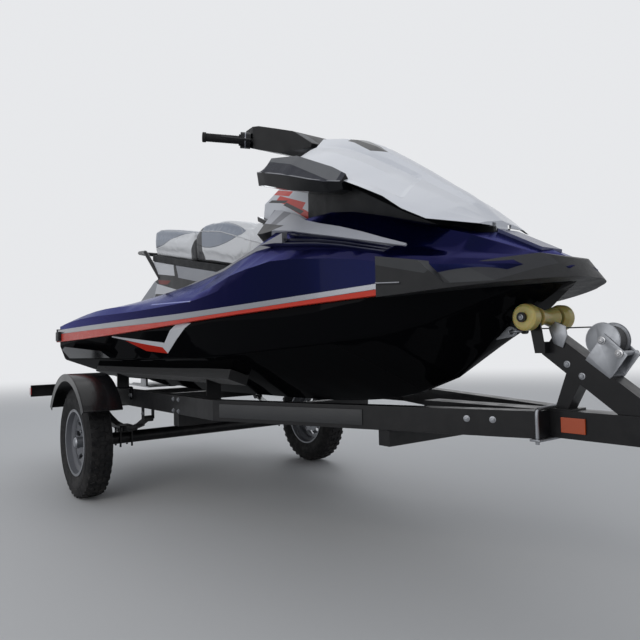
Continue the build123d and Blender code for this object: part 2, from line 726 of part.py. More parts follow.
def along_bar(y_low, y_high, radius):
    """A round sleeve on the bar's outer run, between two half-breadths."""
    (xa, ya, za), (xb, yb, zb) = BAR_RUN[1:]
    points = []
    for y in (y_low, y_high):
        t = (y - ya) / (yb - ya)
        points.append(Vector(xa + t * (xb - xa), y, za + t * (zb - za)))
    path = points[1] - points[0]
    centre = (points[0] + points[1]) * 0.5
    return Location(Plane(centre, z_dir=path)) * Cylinder(radius, path.length)


def grips():
    sleeve = along_bar(284, 404, GRIP_R) + along_bar(404, 417, GRIP_R + 4) + along_bar(280, 285, GRIP_R + 7)
    return both(sleeve - along_bar(250, 412.2, BAR_R))


def controls():
    """Switch housings inboard of the grips, each with its lever ahead of the grip."""
    body = along_bar(242, 279, 34) - along_bar(200, 300, BAR_R)
    points = [(1990, 250, 1118), (2012, 262, 1112), (1998, 300, 1112), (1950, 372, 1122)]
    path = FilletPolyline(*points, radius=12)
    lever = sweep(Plane(path @ 0, z_dir=path % 0) * Circle(5), path=path)
    return both(body + lever)


def bar_pad():
    """Moulded cover over the middle of the bars."""
    side = [(1926, 1112), (1914, 1160), (1932, 1179), (2010, 1181), (2112, 1150), (2190, 1084), (2186, 1068),
            (2106, 1066), (2070, 1058), (1986, 1086)]
    shape = plan([(1900, 236), (1990, 240), (2060, 176), (2120, 108), (2192, 74), (2192, -74), (2120, -108),
                  (2060, -176), (1990, -240), (1900, -236)], 1000, 1200)
    return slab(side, 242) & shape


def pump_housing():
    """Duct with its flange, the stator's vanes and the outlet cone."""
    axis = Plane((0, 0, PUMP_HEIGHT), x_dir=(0, 1, 0), z_dir=(1, 0, 0))
    outer = [(PUMP_AFT, OUTLET_OD / 2), (OUTLET_AFT, OUTLET_OD / 2), (OUTLET_AFT, OUTLET_OD / 2 - OUTLET_WALL),
             (PUMP_AFT, OUTLET_OD / 2 - OUTLET_WALL), (PUMP_AFT + 70, PUMP_BORE / 2), (TUNNEL_LENGTH, PUMP_BORE / 2),
             (TUNNEL_LENGTH, PUMP_OD / 2 + 18), (TUNNEL_LENGTH - PUMP_FLANGE, PUMP_OD / 2 + 18),
             (TUNNEL_LENGTH - PUMP_FLANGE, PUMP_OD / 2), (PUMP_AFT + 70, PUMP_OD / 2)]
    ring = make_face(Polyline(*[(x, 0, PUMP_HEIGHT + r) for x, r in outer], close=True))
    duct = revolve(ring, axis=Axis((0, 0, PUMP_HEIGHT), (1, 0, 0)), revolution_arc=360)
    bulb_points = [(PUMP_AFT + 10, 0), (PUMP_AFT + 60, IMPELLER_HUB - 6), (IMPELLER_AFT - 8, IMPELLER_HUB),
                   (IMPELLER_AFT - 8, 0)]
    bulb = revolve(make_face(Polyline(*[(x, 0, PUMP_HEIGHT + r) for x, r in bulb_points], close=True)),
                   axis=Axis((0, 0, PUMP_HEIGHT), (1, 0, 0)), revolution_arc=360)
    core = rod_x(PUMP_AFT - 60, TUNNEL_LENGTH + 60, PUMP_HEIGHT, PUMP_BORE / 2 + 2)
    for i in range(VANES):
        vane = Pos((PUMP_AFT + IMPELLER_AFT) / 2 + 26, 0, PUMP_BORE / 4 + 8) * Box(80, 4, PUMP_BORE / 2)
        vane = Pos(0, 0, PUMP_HEIGHT) * (Rot(i * 360 / VANES, 0, 0) * vane)
        bulb = bulb + (vane & core)
    bearing = rod_x(IMPELLER_AFT - BEARING_DEPTH, IMPELLER_AFT, PUMP_HEIGHT, SHAFT_R + RUNNING)
    return (duct + bulb) - bearing


def rod_x(low, high, z, radius):
    return Pos((low + high) / 2, 0, z) * Rot(0, 90, 0) * Cylinder(radius, high - low)


def impeller():
    """Hub with swept blades, each a loft through turned sections, and its shaft forward."""
    hub = rod_x(IMPELLER_AFT, IMPELLER_AFT + IMPELLER_LENGTH, 0, IMPELLER_HUB)
    tip = PUMP_BORE / 2 - IMPELLER_CLEAR
    steps = 4
    for b in range(BLADES):
        wires = []
        for i in range(steps + 1):
            x = IMPELLER_AFT + 8 + (IMPELLER_LENGTH - 16) * i / steps
            turn = math.radians(b * 360 / BLADES + BLADE_TWIST * i / steps)
            root_half = BLADE_THICKNESS / (IMPELLER_HUB - 4)
            tip_half = BLADE_THICKNESS / tip
            corners = [(IMPELLER_HUB - 4, turn - root_half), (tip, turn - tip_half), (tip, turn + tip_half),
                       (IMPELLER_HUB - 4, turn + root_half)]
            wires.append(Wire.make_polygon([Vector(x, r * math.cos(a), r * math.sin(a)) for r, a in corners],
                                           close=True))
        hub = hub + Solid.make_loft(wires, ruled=True)
    shaft = rod_x(IMPELLER_AFT - BEARING_DEPTH + 5, TUNNEL_LENGTH - 2, 0, SHAFT_R)
    return Pos(0, 0, PUMP_HEIGHT) * (hub + shaft)


def pump_ears():
    """Brackets on the pump for the nozzle's upright pins and the bucket's side pins."""
    x, z = BUCKET_PIVOT
    arm = bar_y([(x - 14, z - 14), (x - 14, z + 14), (x + 16, z + 14), (PUMP_AFT + 110, PUMP_HEIGHT + 40),
                 (PUMP_AFT + 110, PUMP_HEIGHT - 10), (PUMP_AFT + 40, PUMP_HEIGHT)], 104, 116)
    foot = bar_y([(PUMP_AFT + 70, PUMP_HEIGHT - 8), (PUMP_AFT + 70, PUMP_HEIGHT + 38),
                  (PUMP_AFT + 108, PUMP_HEIGHT + 38), (PUMP_AFT + 108, PUMP_HEIGHT - 8)], 84, 106)
    pin = rod_y(x, z, BUCKET_PIN, 104, BUCKET_HALF + 5)
    side = arm + foot + pin
    top = NOZZLE_OD / 2 + NOZZLE_EAR
    lug = slab([(NOZZLE_PIVOT_X - 11, PUMP_HEIGHT + top + SEAT_GAP), (NOZZLE_PIVOT_X - 11, PUMP_HEIGHT + top + 11),
                (PUMP_AFT + 50, PUMP_HEIGHT + PUMP_OD / 2 + 3), (PUMP_AFT + 84, PUMP_HEIGHT + PUMP_OD / 2 + 3),
                (PUMP_AFT + 84, PUMP_HEIGHT + PUMP_OD / 2 - 9), (PUMP_AFT + 62, PUMP_HEIGHT + PUMP_OD / 2 - 11),
                (PUMP_AFT, PUMP_HEIGHT + top + SEAT_GAP)], 14)
    pin_up = Pos(NOZZLE_PIVOT_X, 0, PUMP_HEIGHT + top + 2) * Cylinder(NOZZLE_PIN, 2 * NOZZLE_EAR)
    upright = lug + pin_up
    lower = Pos(0, 0, 2 * PUMP_HEIGHT) * upright.mirror(Plane.XY)
    return [side, side.mirror(Plane.XZ), upright, lower]


def steering_nozzle():
    """Nozzle that turns on upright pins around the pump's outlet."""
    x = NOZZLE_PIVOT_X
    bell, exit_r = NOZZLE_OD / 2, NOZZLE_EXIT_OD / 2
    profile = [(x + 6, bell), (x - 24, bell), (NOZZLE_AFT, exit_r), (NOZZLE_AFT, exit_r - NOZZLE_WALL),
               (x - 28, bell - NOZZLE_WALL), (x + 6, bell - NOZZLE_WALL)]
    tube = revolve(make_face(Polyline(*[(s, 0, r) for s, r in profile], close=True)), axis=Axis.X, revolution_arc=360)
    eye = Pos(x, 0, bell + NOZZLE_EAR / 2 - 1) * Cylinder(13, NOZZLE_EAR + 2)
    tube = tube + eye + eye.mirror(Plane.XY)
    arm = bar_y([(x - 16, -9), (x + 8, -9), (x + 8, 9), (x - 16, 9)], bell - 4, bell + 26)
    tube = tube + arm
    hole = Pos(x, 0, 0) * Cylinder(NOZZLE_PIN + RUNNING, 2 * bell + 60)
    return Pos(0, 0, PUMP_HEIGHT) * (tube - hole)


def reverse_bucket():
    """Curved scoop between two side plates, stowed above the jet."""
    x, z = BUCKET_PIVOT
    low = math.radians(BUCKET_LOW)
    high = math.radians(BUCKET_LOW + BUCKET_SPAN)
    mid = (low + high) / 2

    def at(radius, angle):
        return (x - radius * math.cos(angle), 0, z + radius * math.sin(angle))

    outer, inner = BUCKET_RADIUS, BUCKET_RADIUS - BUCKET_SKIN
    scoop = extrude(make_face([
        ThreePointArc(at(outer, low), at(outer, mid), at(outer, high)), Line(at(outer, high), at(inner, high)),
        ThreePointArc(at(inner, high), at(inner, mid), at(inner, low)), Line(at(inner, low), at(outer, low))]),
        amount=BUCKET_HALF, dir=(0, 1, 0), both=True)
    cheek = extrude(Pos(0, BUCKET_HALF, 0) * make_face([
        ThreePointArc(at(outer, low), at(outer, mid), at(outer, high)), Line(at(outer, high), at(16, high)),
        ThreePointArc(at(16, high), at(-16, mid), at(16, low)), Line(at(16, low), at(outer, low))]),
        amount=BUCKET_SKIN, dir=(0, -1, 0))
    body = scoop + cheek + cheek.mirror(Plane.XZ)
    return body - rod_y(x, z, BUCKET_PIN + RUNNING, -BUCKET_HALF - 10, BUCKET_HALF + 10)


def ride_plate():
    """Plate closing the tunnel's bottom under the pump."""
    plate = plan([(96, 118), (TUNNEL_LENGTH, TUNNEL_HALF), (TUNNEL_LENGTH, -TUNNEL_HALF), (96, -118)], 0, 7)
    rib = bar_y([(130, 6), (TUNNEL_LENGTH - 20, 6), (TUNNEL_LENGTH - 20, 16), (160, 16)], 96, 102)
    foot = bar_y([(TUNNEL_LENGTH - 130, 6), (TUNNEL_LENGTH - 40, 6), (TUNNEL_LENGTH - 50, 110),
                  (TUNNEL_LENGTH - 120, 110)], TUNNEL_HALF - 14, TUNNEL_HALF)
    return plate + rib + rib.mirror(Plane.XZ) + foot + foot.mirror(Plane.XZ)


def intake_grate():
    """Bars along the intake's mouth, in a frame flush with the hull bottom."""
    aft, front = TUNNEL_LENGTH + 20, TUNNEL_LENGTH + 300
    low, high = 17, 27
    frame = block(aft, front, INTAKE_HALF, low, high) - block(aft + 14, front - 14, INTAKE_HALF - 10, 0, 40)
    for y in (-34, -17, 0, 17, 34):
        frame = frame + Pos((aft + front) / 2, y, (low + high) / 2) * Box(front - aft, 5, high - low)
    return frame


def step_pins():
    """Brackets on the transom for the boarding step."""
    z = STEP_PIVOT_HEIGHT
    parts = []
    for low in (STEP_HALF - 24, STEP_HALF + 18):
        ear = bar_y([(-38, z - 10), (-38, z + 10), (0, z + 20), (0, z - 20)], low, low + STEP_EAR)
        parts.append(ear)
    parts.append(rod_y(-26, z, STEP_PIN, STEP_HALF - 24, STEP_HALF + 24))
    side = parts[0] + parts[1] + parts[2]
    return both(side)


def boarding_step():
    """Tube bent to a U with a flat tread, folded up behind the transom."""
    z = STEP_PIVOT_HEIGHT
    top = z + STEP_LENGTH
    points = [(-26, STEP_HALF, z), (-26, STEP_HALF, top), (-26, -STEP_HALF, top), (-26, -STEP_HALF, z)]
    path = FilletPolyline(*points, radius=36)
    tube = sweep(Plane(path @ 0, z_dir=path % 0) * Circle(STEP_TUBE), path=path)
    tread = block(-38, -14, STEP_HALF - 44, top - 24, top + 13)
    eye = rod_y(-26, z, STEP_TUBE + 1, STEP_HALF - STEP_TUBE - 2, STEP_HALF + STEP_TUBE + 2)
    body = tube + tread + eye + eye.mirror(Plane.XZ)
    return body - rod_y(-26, z, STEP_PIN + RUNNING, -STEP_HALF - 40, STEP_HALF + 40)


def sponsons():
    """Long blocks on the hull sides above the chine, near the stern."""
    shape = bar_y([(280, 192), (1040, 196), (1000, 232), (420, 262), (300, 246)], 470, 606)
    flare = extrude(make_face(Polyline(*[(250, y, z) for y, z in ((440, 180), (532, 180), (612, 268), (440, 300))],
                                       close=True)), amount=820, dir=(1, 0, 0))
    return shape & flare


def rail_band(low_line, high_line, aft, front):
    """Rail stock between two lines along the craft, before it is cut back to the shell."""
    ring = outline(0, 200, 560) - outline(-RAIL_ROOT, 150, 600)
    band = (ring & below(high_line)) - below(low_line)
    return band & block(aft, front, REACH / 2, 150, 600)


def bow_wire(grow, z):
    """The plan shape's bow at one height, its points moved out by grow."""
    # station, half-breadth and direction of the outward normal
    rows = ((2925, 420, 68), (3125, 318, 55), (3270, 190, 40), (3332, 98, 21), (3350, 0, 0))
    port = []
    for x, y, normal in rows:
        turn = math.radians(normal)
        port.append((x + grow * math.cos(turn), y + grow * math.sin(turn), z))
    whole = port + [(x, -y, z) for x, y, z in reversed(port[:-1])]
    edges = [ThreePointArc(*whole[i:i + 3]) for i in range(0, len(whole) - 2, 2)]
    edges.append(Line(whole[-1], whole[0]))
    return Wire([edge.edges()[0] for edge in edges])


def bow_bumper():
    """Moulded guard round the bow, its upper edge cut back to a sloping facet ahead of the scoops."""
    ring = outline(3, 200, 560) - outline(-96, 150, 600)
    side = slab([(BUMPER_AFT, 368), (BUMPER_AFT, 484), (3050, 462), (3112, 446), (3196, 462), (3262, 472),
                 (3360, 440), (3360, 404), (3160, 386), (3000, 372)], REACH / 2)
    facet = slab([(3012, 500), (3104, 396), (3400, 387), (3400, 500)], REACH / 2)
    facet = facet - Solid.make_loft([bow_wire(6, 384), bow_wire(-58, 480)], ruled=True)
    return (ring & side) - facet


def stern_corners():
    """Dark caps where the rails end at the stern."""
    ring = outline(4, 200, 560) - outline(-RAIL_ROOT, 150, 600)
    side = slab([(-10, 300), (RAIL_AFT - 1, 294), (RAIL_AFT - 1, 376), (30, 372), (-10, 350)], REACH / 2)
    middle = block(-60, 200, TRANSOM_HALF - 90, 100, 700)
    return (ring & side) - middle


def fairing():
    """Silver panel on the port shoulder: gunwale strip rising into the pointed side panel."""
    rows = ((1105, 424, 470, 440), (1700, 408, 506, 430), (2050, 398, 548, 424), (2300, 396, 596, 424),
            (2440, 382, 630, 404))
    wires = []
    for x, inner, height, outer in rows:
        wires.append(Wire.make_polygon([Vector(x, inner, height - 30), Vector(x, inner, height + 8),
                                        Vector(x, outer, height + 2), Vector(x, outer, height - 36)], close=True))
    strip = Solid.make_loft(wires, ruled=True)
    rows = [(x, (y_top, z_top), (y_low, z_low)) for x, y_top, z_top, y_low, z_low in PANEL_ROWS]
    for x, centre, by, bz, sy, sz, *rest in faired(DECK_SECTIONS, FAIRED_SHELL):
        for (x_low, share_low), (x_high, share_high) in zip(PANEL_TOP, PANEL_TOP[1:]):
            if x_low < x <= x_high:
                share = share_low + (share_high - share_low) * (x - x_low) / (x_high - x_low)
                rows.append((x, off_line((by, bz), (sy, sz), share, PANEL_PROUD),
                             off_line((by, bz), (sy, sz), 1.02, PANEL_PROUD)))
    wires = []
    for x, (y_top, z_top), (y_low, z_low) in rows:
        wires.append(Wire.make_polygon([Vector(x, y_top - 50, z_top - 50), Vector(x, y_top, z_top),
                                        Vector(x, y_low, z_low), Vector(x, y_low - 50, z_low - 50)], close=True))
    return Solid.make_loft(wires, ruled=True), strip


def tow_eye(x, z, y, reach, hole):
    """Flat eye in an upright plane along the craft, its hole across it."""
    plate = bar_y([(x, z - 18), (x, z + 18), (x + reach, z + 8), (x + reach, z - 8)], y - 5, y + 5)
    nose = rod_y(x + reach, z, hole + 7, y - 5, y + 5)
    return (plate + nose) - rod_y(x + reach, z, hole, y - 8, y + 8)


def side_rails():
    rail = Pos((RAIL_TAIL + KINK_X) / 2, RAIL_HALF, RAIL_TOP_Z - RAIL_DEEP / 2) * Box(
        KINK_X - RAIL_TAIL, RAIL_WIDE, RAIL_DEEP)
    hanger = []
    for x in (-SPRING_HALF - 8, SPRING_HALF + 8):
        plates = Pos(x, RAIL_HALF, RAIL_TOP_Z - RAIL_DEEP - 26) * Box(34, RAIL_WIDE, 52)
        slot = Pos(x, RAIL_HALF, RAIL_TOP_Z - RAIL_DEEP - 30) * Box(40, SPRING_WIDE + 1, 60)
        hanger.append(plates - slot)
    return both(rail + hanger[0] + hanger[1])


def tongue():
    return block(TONGUE_AFT, TONGUE_NOSE, TONGUE_WIDE / 2, RAIL_TOP_Z - RAIL_DEEP, RAIL_TOP_Z)


def draw_rails():
    """Rails running in from the kink to the tongue."""
    nose = TONGUE_WIDE / 2 + RAIL_WIDE / 2
    lean = math.atan2(RAIL_HALF - nose, DRAW_NOSE - KINK_X)
    wide = RAIL_WIDE / 2 / math.cos(lean)
    shape = plan([(KINK_X, RAIL_HALF - RAIL_WIDE / 2), (KINK_X, RAIL_HALF + RAIL_WIDE / 2), (DRAW_NOSE, nose + wide),
                  (DRAW_NOSE, nose - wide)], RAIL_TOP_Z - RAIL_DEEP, RAIL_TOP_Z)
    return both(shape - tongue())


def crossmembers():
    top = RAIL_TOP_Z - RAIL_DEEP
    parts = [block(x - 25, x + 25, RAIL_HALF + RAIL_WIDE / 2, top - CROSS_DEEP, top) for x in CROSS_STATIONS]
    parts.append(block(TONGUE_AFT + 10, TONGUE_AFT + 60, 262, top - CROSS_DEEP, top))
    return parts


def coupler():
    """Pressed coupler over the tongue's nose, its ball socket open below."""
    half = TONGUE_WIDE / 2
    top = RAIL_TOP_Z + 6
    side = [(TONGUE_NOSE - 110, RAIL_TOP_Z - RAIL_DEEP + 6), (TONGUE_NOSE - 110, top), (BALL_X, top - 2),
            (BALL_X + 34, top - 16), (BALL_X + 34, RAIL_TOP_Z - RAIL_DEEP + 4), (BALL_X - 60, RAIL_TOP_Z - RAIL_DEEP - 4)]
    shape = plan([(TONGUE_NOSE - 110, half + 5), (TONGUE_NOSE + 10, half + 5), (BALL_X, 42), (BALL_X, -42),
                  (TONGUE_NOSE + 10, -half - 5), (TONGUE_NOSE - 110, -half - 5)], 300, 600)
    body = slab(side, half + 6) & shape
    dome = Pos(BALL_X, 0, BALL_Z + 4) * Cylinder(COUPLER_REACH - BALL_X, 76)
    socket = Pos(BALL_X, 0, BALL_Z) * Sphere(BALL_R) + Pos(BALL_X, 0, BALL_Z - 40) * Cylinder(BALL_R, 80)
    latch = slab([(BALL_X - 96, top - 6), (BALL_X - 20, top - 4), (BALL_X - 30, top + 18), (BALL_X - 110, top + 34),
                  (BALL_X - 112, top + 26), (BALL_X - 52, top + 10)], 11)
    return (body + dome + latch) - socket - tongue()


def axle():
    tube = rod_y(0, AXLE_Z, AXLE_TUBE / 2, -AXLE_HALF, AXLE_HALF)
    stub = rod_y(0, AXLE_Z, SPINDLE_R, AXLE_HALF - 20, HUB_OUT - 14)
    plate = rod_y(0, AXLE_Z, 38, AXLE_HALF - 6, AXLE_HALF + 2)
    return tube + stub + stub.mirror(Plane.XZ) + plate + plate.mirror(Plane.XZ)


def springs():
    """Leaf springs over the axle with their eyes and U-bolts."""
    seat = AXLE_Z + AXLE_TUBE / 2 + 4

    def arch(x, leaf):
        return (x, seat + SPRING_RISE * (x / SPRING_HALF) ** 2 + leaf * SPRING_LEAF)

    ends = [SPRING_HALF * share for share in SPRING_SHARES]
    under = []
    for leaf, reach in enumerate(ends):
        shorter = ends[leaf - 1] if leaf > 0 else 0
        under.append(arch(shorter, leaf))
        under.append(arch(reach, leaf))
    over = [arch(reach, len(ends)) for reach in reversed(ends)] + [arch(0, len(ends))]
    right_side = under + over
    left_side = [(-x, z) for x, z in reversed(right_side[1:-1])]
    leaves = slab(right_side + left_side, SPRING_WIDE / 2)
    top = seat + SPRING_RISE + (len(ends) - 0.5) * SPRING_LEAF
    for x in (-SPRING_HALF - 8, SPRING_HALF + 8):
        leaves = leaves + rod_y(x, top, 14, -SPRING_WIDE / 2, SPRING_WIDE / 2)
    pad = block(-46, 46, SPRING_WIDE / 2 + 8, seat - 4, seat + 1) - rod_y(0, AXLE_Z, AXLE_TUBE / 2, -60, 60)
    keep = block(-46, 46, SPRING_WIDE / 2 + 14, seat + 3 * SPRING_LEAF - 2, seat + 3 * SPRING_LEAF + 8)
    leaves = leaves + pad + keep
    for x in (-36, 36):
        for y in (-SPRING_WIDE / 2 - 7, SPRING_WIDE / 2 + 7):
            leaves = leaves + Pos(x, y, AXLE_Z + 8) * Cylinder(5, 2 * (seat + 24 - AXLE_Z - 8))
    return [Pos(0, y, 0) * leaves for y in (RAIL_HALF, -RAIL_HALF)]


def turned(profile, y=0):
    """Revolve a half-breadth and radius profile about the axle line."""
    face = make_face(Polyline(*[(0, y + b, AXLE_Z + r) for b, r in profile], close=True))
    return revolve(face, axis=Axis((0, 0, AXLE_Z), (0, 1, 0)), revolution_arc=360)


def rim(side):
    """Pressed wheel with round holes, its hub and dust cap; side is 1 to port and -1 to starboard."""
    w = RIM_WIDTH / 2
    bead, flange = RIM_BEAD / 2, RIM_OD / 2
    barrel = turned([(-w, bead), (-w, flange), (4 - w, flange), (6 - w, bead), (-26, bead), (-16, bead - 16),
                     (18, bead - 16), (28, bead), (w - 6, bead), (w - 4, flange), (w, flange), (w, bead - 4),
                     (24, bead - 4), (14, bead - 21), (-14, bead - 21), (-24, bead - 4)], 0)
    disc = turned([(-6, 34), (-6, 92), (8, 108), (8, bead - 18), (14, bead - 18), (14, 106), (0, 88), (0, 34)], 0)
    for i in range(RIM_HOLES):
        hole = Rot(0, i * 360 / RIM_HOLES, 0) * (Pos(0, 0, 98) * (Rot(90, 0, 0) * Cylinder(14, 60)))
        disc = disc - Pos(0, 0, AXLE_Z) * hole
    hub_in = AXLE_HALF + 6 - TRACK_HALF
    hub_out = HUB_OUT - TRACK_HALF
    hub = turned([(hub_in, SPINDLE_R + RUNNING), (hub_in, 36), (-8, 40), (0, 40), (0, 26), (hub_out - 6, 26),
                  (hub_out, 20), (hub_out, 0), (hub_out - 6, 0), (hub_out - 6, SPINDLE_R + RUNNING)], 0)
    wheel = barrel + disc + hub
    for i in range(5):
        stud = Rot(0, i * 72 + 36, 0) * (Pos(0, 4, 57) * (Rot(90, 0, 0) * Cylinder(9, 22)))
        wheel = wheel + Pos(0, 0, AXLE_Z) * stud
    wheel = Pos(0, TRACK_HALF, 0) * wheel
    return wheel if side > 0 else wheel.mirror(Plane.XZ)


def tyre(side):
    w = TYRE_WIDTH / 2
    crown = TYRE_OD / 2
    bead = RIM_BEAD / 2 + SEAT_GAP
    rim_half = RIM_WIDTH / 2
    profile = [(6.5 - rim_half, bead), (3.5 - rim_half, RIM_OD / 2 + 2), (-w, 204), (-w + 2, 232), (-w + 12, crown - 5),
               (-w + 24, crown), (w - 24, crown), (w - 12, crown - 5), (w - 2, 232), (w, 204),
               (rim_half - 3.5, RIM_OD / 2 + 2), (rim_half - 6.5, bead), (28, bead), (34, 200), (0, crown - 14),
               (-34, 200), (-26, bead)]
    shape = Pos(0, TRACK_HALF, 0) * turned(profile)
    return shape if side > 0 else shape.mirror(Plane.XZ)


def fenders():
    """Rolled mudguards with a turned lip, each on two tabs from the rail."""
    def sector(outer, inner, low, high):
        def at(radius, angle):
            a = math.radians(angle)
            return (radius * math.cos(a), 0, AXLE_Z + radius * math.sin(a))
        mid = (low + high) / 2
        return make_face([ThreePointArc(at(outer, low), at(outer, mid), at(outer, high)),
                          Line(at(outer, high), at(inner, high)),
                          ThreePointArc(at(inner, high), at(inner, mid), at(inner, low)),
                          Line(at(inner, low), at(outer, low))])
    low, high = FENDER_ARC
    skin = Pos(0, FENDER_IN, 0) * extrude(sector(FENDER_R, FENDER_R - FENDER_SKIN, low, high),
                                          amount=FENDER_OUT - FENDER_IN, dir=(0, 1, 0))
    lip = Pos(0, FENDER_OUT - FENDER_SKIN, 0) * extrude(sector(FENDER_R, FENDER_R - 34, low, high),
                                                        amount=FENDER_SKIN, dir=(0, 1, 0))
    guard = skin + lip
    outside = rod_y(0, AXLE_Z, FENDER_R - FENDER_SKIN, 400, 900)
    for x in (-190, 190):
        tab = Pos(x, (RAIL_HALF + RAIL_WIDE / 2 + FENDER_IN + 14) / 2, RAIL_TOP_Z + 16) * Box(
            36, FENDER_IN + 14 - RAIL_HALF - RAIL_WIDE / 2, 5)
        post = Pos(x, RAIL_HALF + RAIL_WIDE / 2 + 3, RAIL_TOP_Z - 14) * Box(36, 6, 60)
        guard = guard + ((tab & outside) + post)
    return both(guard)


def bunks(hull):
    """Carpeted planks under the hull, their tops bearing on it."""
    lean = math.degrees(math.atan2(HULL_SECTIONS[0][3], HULL_SECTIONS[0][2]))
    top = KEEL_HEIGHT + BUNK_HALF * math.tan(math.radians(lean))
    length = BUNK_FRONT - BUNK_AFT
    plank = Pos((BUNK_FRONT + BUNK_AFT) / 2, BUNK_HALF, top) * (
        Rot(lean, 0, 0) * (Pos(0, 0, 5 - BUNK_DEEP / 2) * Box(length, BUNK_WIDE, BUNK_DEEP)))
    return [shape - hull for shape in both(plank)]


def bunk_brackets(planks, hull):
    """Angles standing on the crossmembers under the bunks."""
    low = RAIL_TOP_Z - RAIL_DEEP
    parts = []
    for x in CROSS_STATIONS[1:]:
        web = Pos(x, BUNK_HALF, low + 75) * Box(6, 70, 150)
        foot = Pos(x + 12, BUNK_HALF, low + 3) * Box(30, 70, 6)
        side = web + foot
        for shape, plank in zip(both(side), planks):
            cut = extrude(plank.faces().sort_by(Axis.Z)[0], amount=200, dir=(0, 0, 1))
            parts.append(shape - plank - cut - hull)
    return parts


def light_bars():
    bar = Pos(RAIL_TAIL + 26, (RAIL_HALF + RAIL_WIDE / 2 + LAMP_END) / 2, RAIL_TOP_Z - 40) * Box(
        5, LAMP_END - RAIL_HALF - RAIL_WIDE / 2, 70)
    shelf = Pos(RAIL_TAIL + 40, (RAIL_HALF + RAIL_WIDE / 2 + LAMP_END) / 2, RAIL_TOP_Z - 7) * Box(
        28, LAMP_END - RAIL_HALF - RAIL_WIDE / 2, 4)
    return both(bar + shelf)


def tail_lights():
    lamp = Pos(RAIL_TAIL + 26 - 2.5 - LAMP_DEEP / 2, LAMP_END - 76, RAIL_TOP_Z - 40) * Box(LAMP_DEEP, 140, 62)
    return both(fillet(lamp.edges().group_by(Axis.X)[0], 6))


def side_markers():
    """Amber reflectors on the tongue's sides and red ones on the lamp brackets' ends."""
    amber = Pos(2185, TONGUE_WIDE / 2 + 3, RAIL_TOP_Z - RAIL_DEEP / 2) * Box(70, 6, 42)
    red = Pos(RAIL_TAIL + 40, LAMP_END + 3, RAIL_TOP_Z - 40) * Box(32, 6, 42)
    return amber, red


def post_line(along, off):
    """A point on the winch post, so far up from its foot and so far off its centre line."""
    (xa, za), (xb, zb) = POST_FOOT, POST_HEAD
    length = math.hypot(xb - xa, zb - za)
    ux, uz = (xb - xa) / length, (zb - za) / length
    return (xa + along * ux + off * -uz, za + along * uz + off * ux) if ux > 0 else \
        (xa + along * ux + off * uz, za + along * uz - off * ux)


def winch_post():
    """Slanted post on the tongue with its brace, and the bracket that carries the bow roller."""
    length = math.hypot(POST_HEAD[0] - POST_FOOT[0], POST_HEAD[1] - POST_FOOT[1])
    half = POST_WIDE / 2
    beam = slab([post_line(-90, -half), post_line(length, -half), post_line(length, half), post_line(-90, half)], 30)
    beam = beam - block(2000, 2700, 60, 300, RAIL_TOP_Z)
    brace = slab([(2122, RAIL_TOP_Z), (2160, RAIL_TOP_Z), (2206, 600), (2166, 632)], 24)
    foot = block(2096, 2180, TONGUE_WIDE / 2, RAIL_TOP_Z, RAIL_TOP_Z + 5)
    cheek_in = ROLLER_SPOOL + 5
    plate = block(POST_HEAD[0] - 26, POST_HEAD[0] + 6, cheek_in + 6, POST_HEAD[1] - 26, POST_HEAD[1] + 6)
    ear = bar_y([(ROLLER_X - 17, ROLLER_Z), (ROLLER_X - 14, ROLLER_Z + 12), (ROLLER_X + 12, ROLLER_Z + 14),
                 (ROLLER_X + 18, ROLLER_Z), (POST_HEAD[0] + 6, POST_HEAD[1] - 26), (POST_HEAD[0] - 26, POST_HEAD[1] - 26)],
                cheek_in, cheek_in + 6)
    pin = rod_y(ROLLER_X, ROLLER_Z, ROLLER_PIN, -ROLLER_HALF - 10, ROLLER_HALF + 10)
    caps = rod_y(ROLLER_X, ROLLER_Z, ROLLER_PIN + 6, ROLLER_HALF + 2, ROLLER_HALF + 10)
    return beam + brace + foot + plate + ear + ear.mirror(Plane.XZ) + pin + caps + caps.mirror(Plane.XZ)


def bow_roller():
    """Waisted spool between the bracket's ears and a bell outside each ear."""
    s = ROLLER_SPOOL
    r, waist, bore = ROLLER_R, ROLLER_WAIST, ROLLER_PIN + RUNNING
    bell_in = s + 16
    spool = [(-s, bore), (-s, r - 8), (-8, waist), (8, waist), (s, r - 8), (s, bore)]
    bell = [(bell_in, bore), (bell_in, r - 8), (bell_in + 16, r), (ROLLER_HALF - 6, r), (ROLLER_HALF, r - 7),
            (ROLLER_HALF, bore)]
    shapes = []
    for profile in (spool, bell, [(-b, q) for b, q in bell]):
        face = make_face(Polyline(*[(ROLLER_X, b, ROLLER_Z + q) for b, q in profile], close=True))
        shapes.append(revolve(face, axis=Axis((ROLLER_X, 0, ROLLER_Z), (0, 1, 0)), revolution_arc=360))
    return shapes


def winch():
    """Zinc-plated frame of two side plates on the post, and the gear shaft with its crank."""
    side = bar_y([(2230, 664), (2293, 610), (2336, 668), (2278, 724)], 32, 35)
    base = slab([(2224, 655), (2288, 607), (2296, 614), (2233, 668)], 35)
    shaft = rod_y(2316, 672, 7, -38, 58)
    arm = bar_y([(2306, 664), (2322, 662), (2470, 700), (2466, 714)], 52, 57)
    grip = rod_y(2462, 704, 13, 57, 150)
    return (side + side.mirror(Plane.XZ) + base + shaft + arm + grip) - rod_y(DRUM[0], DRUM[1], 8, -60, 60)


def winch_drum():
    x, z = DRUM
    shaft = rod_y(x, z, 8, -40, 40) + rod_y(x, z, 12, -31, 31)
    flange = rod_y(x, z, DRUM_FLANGE_R, 26, 29)
    return shaft + flange + flange.mirror(Plane.XZ)


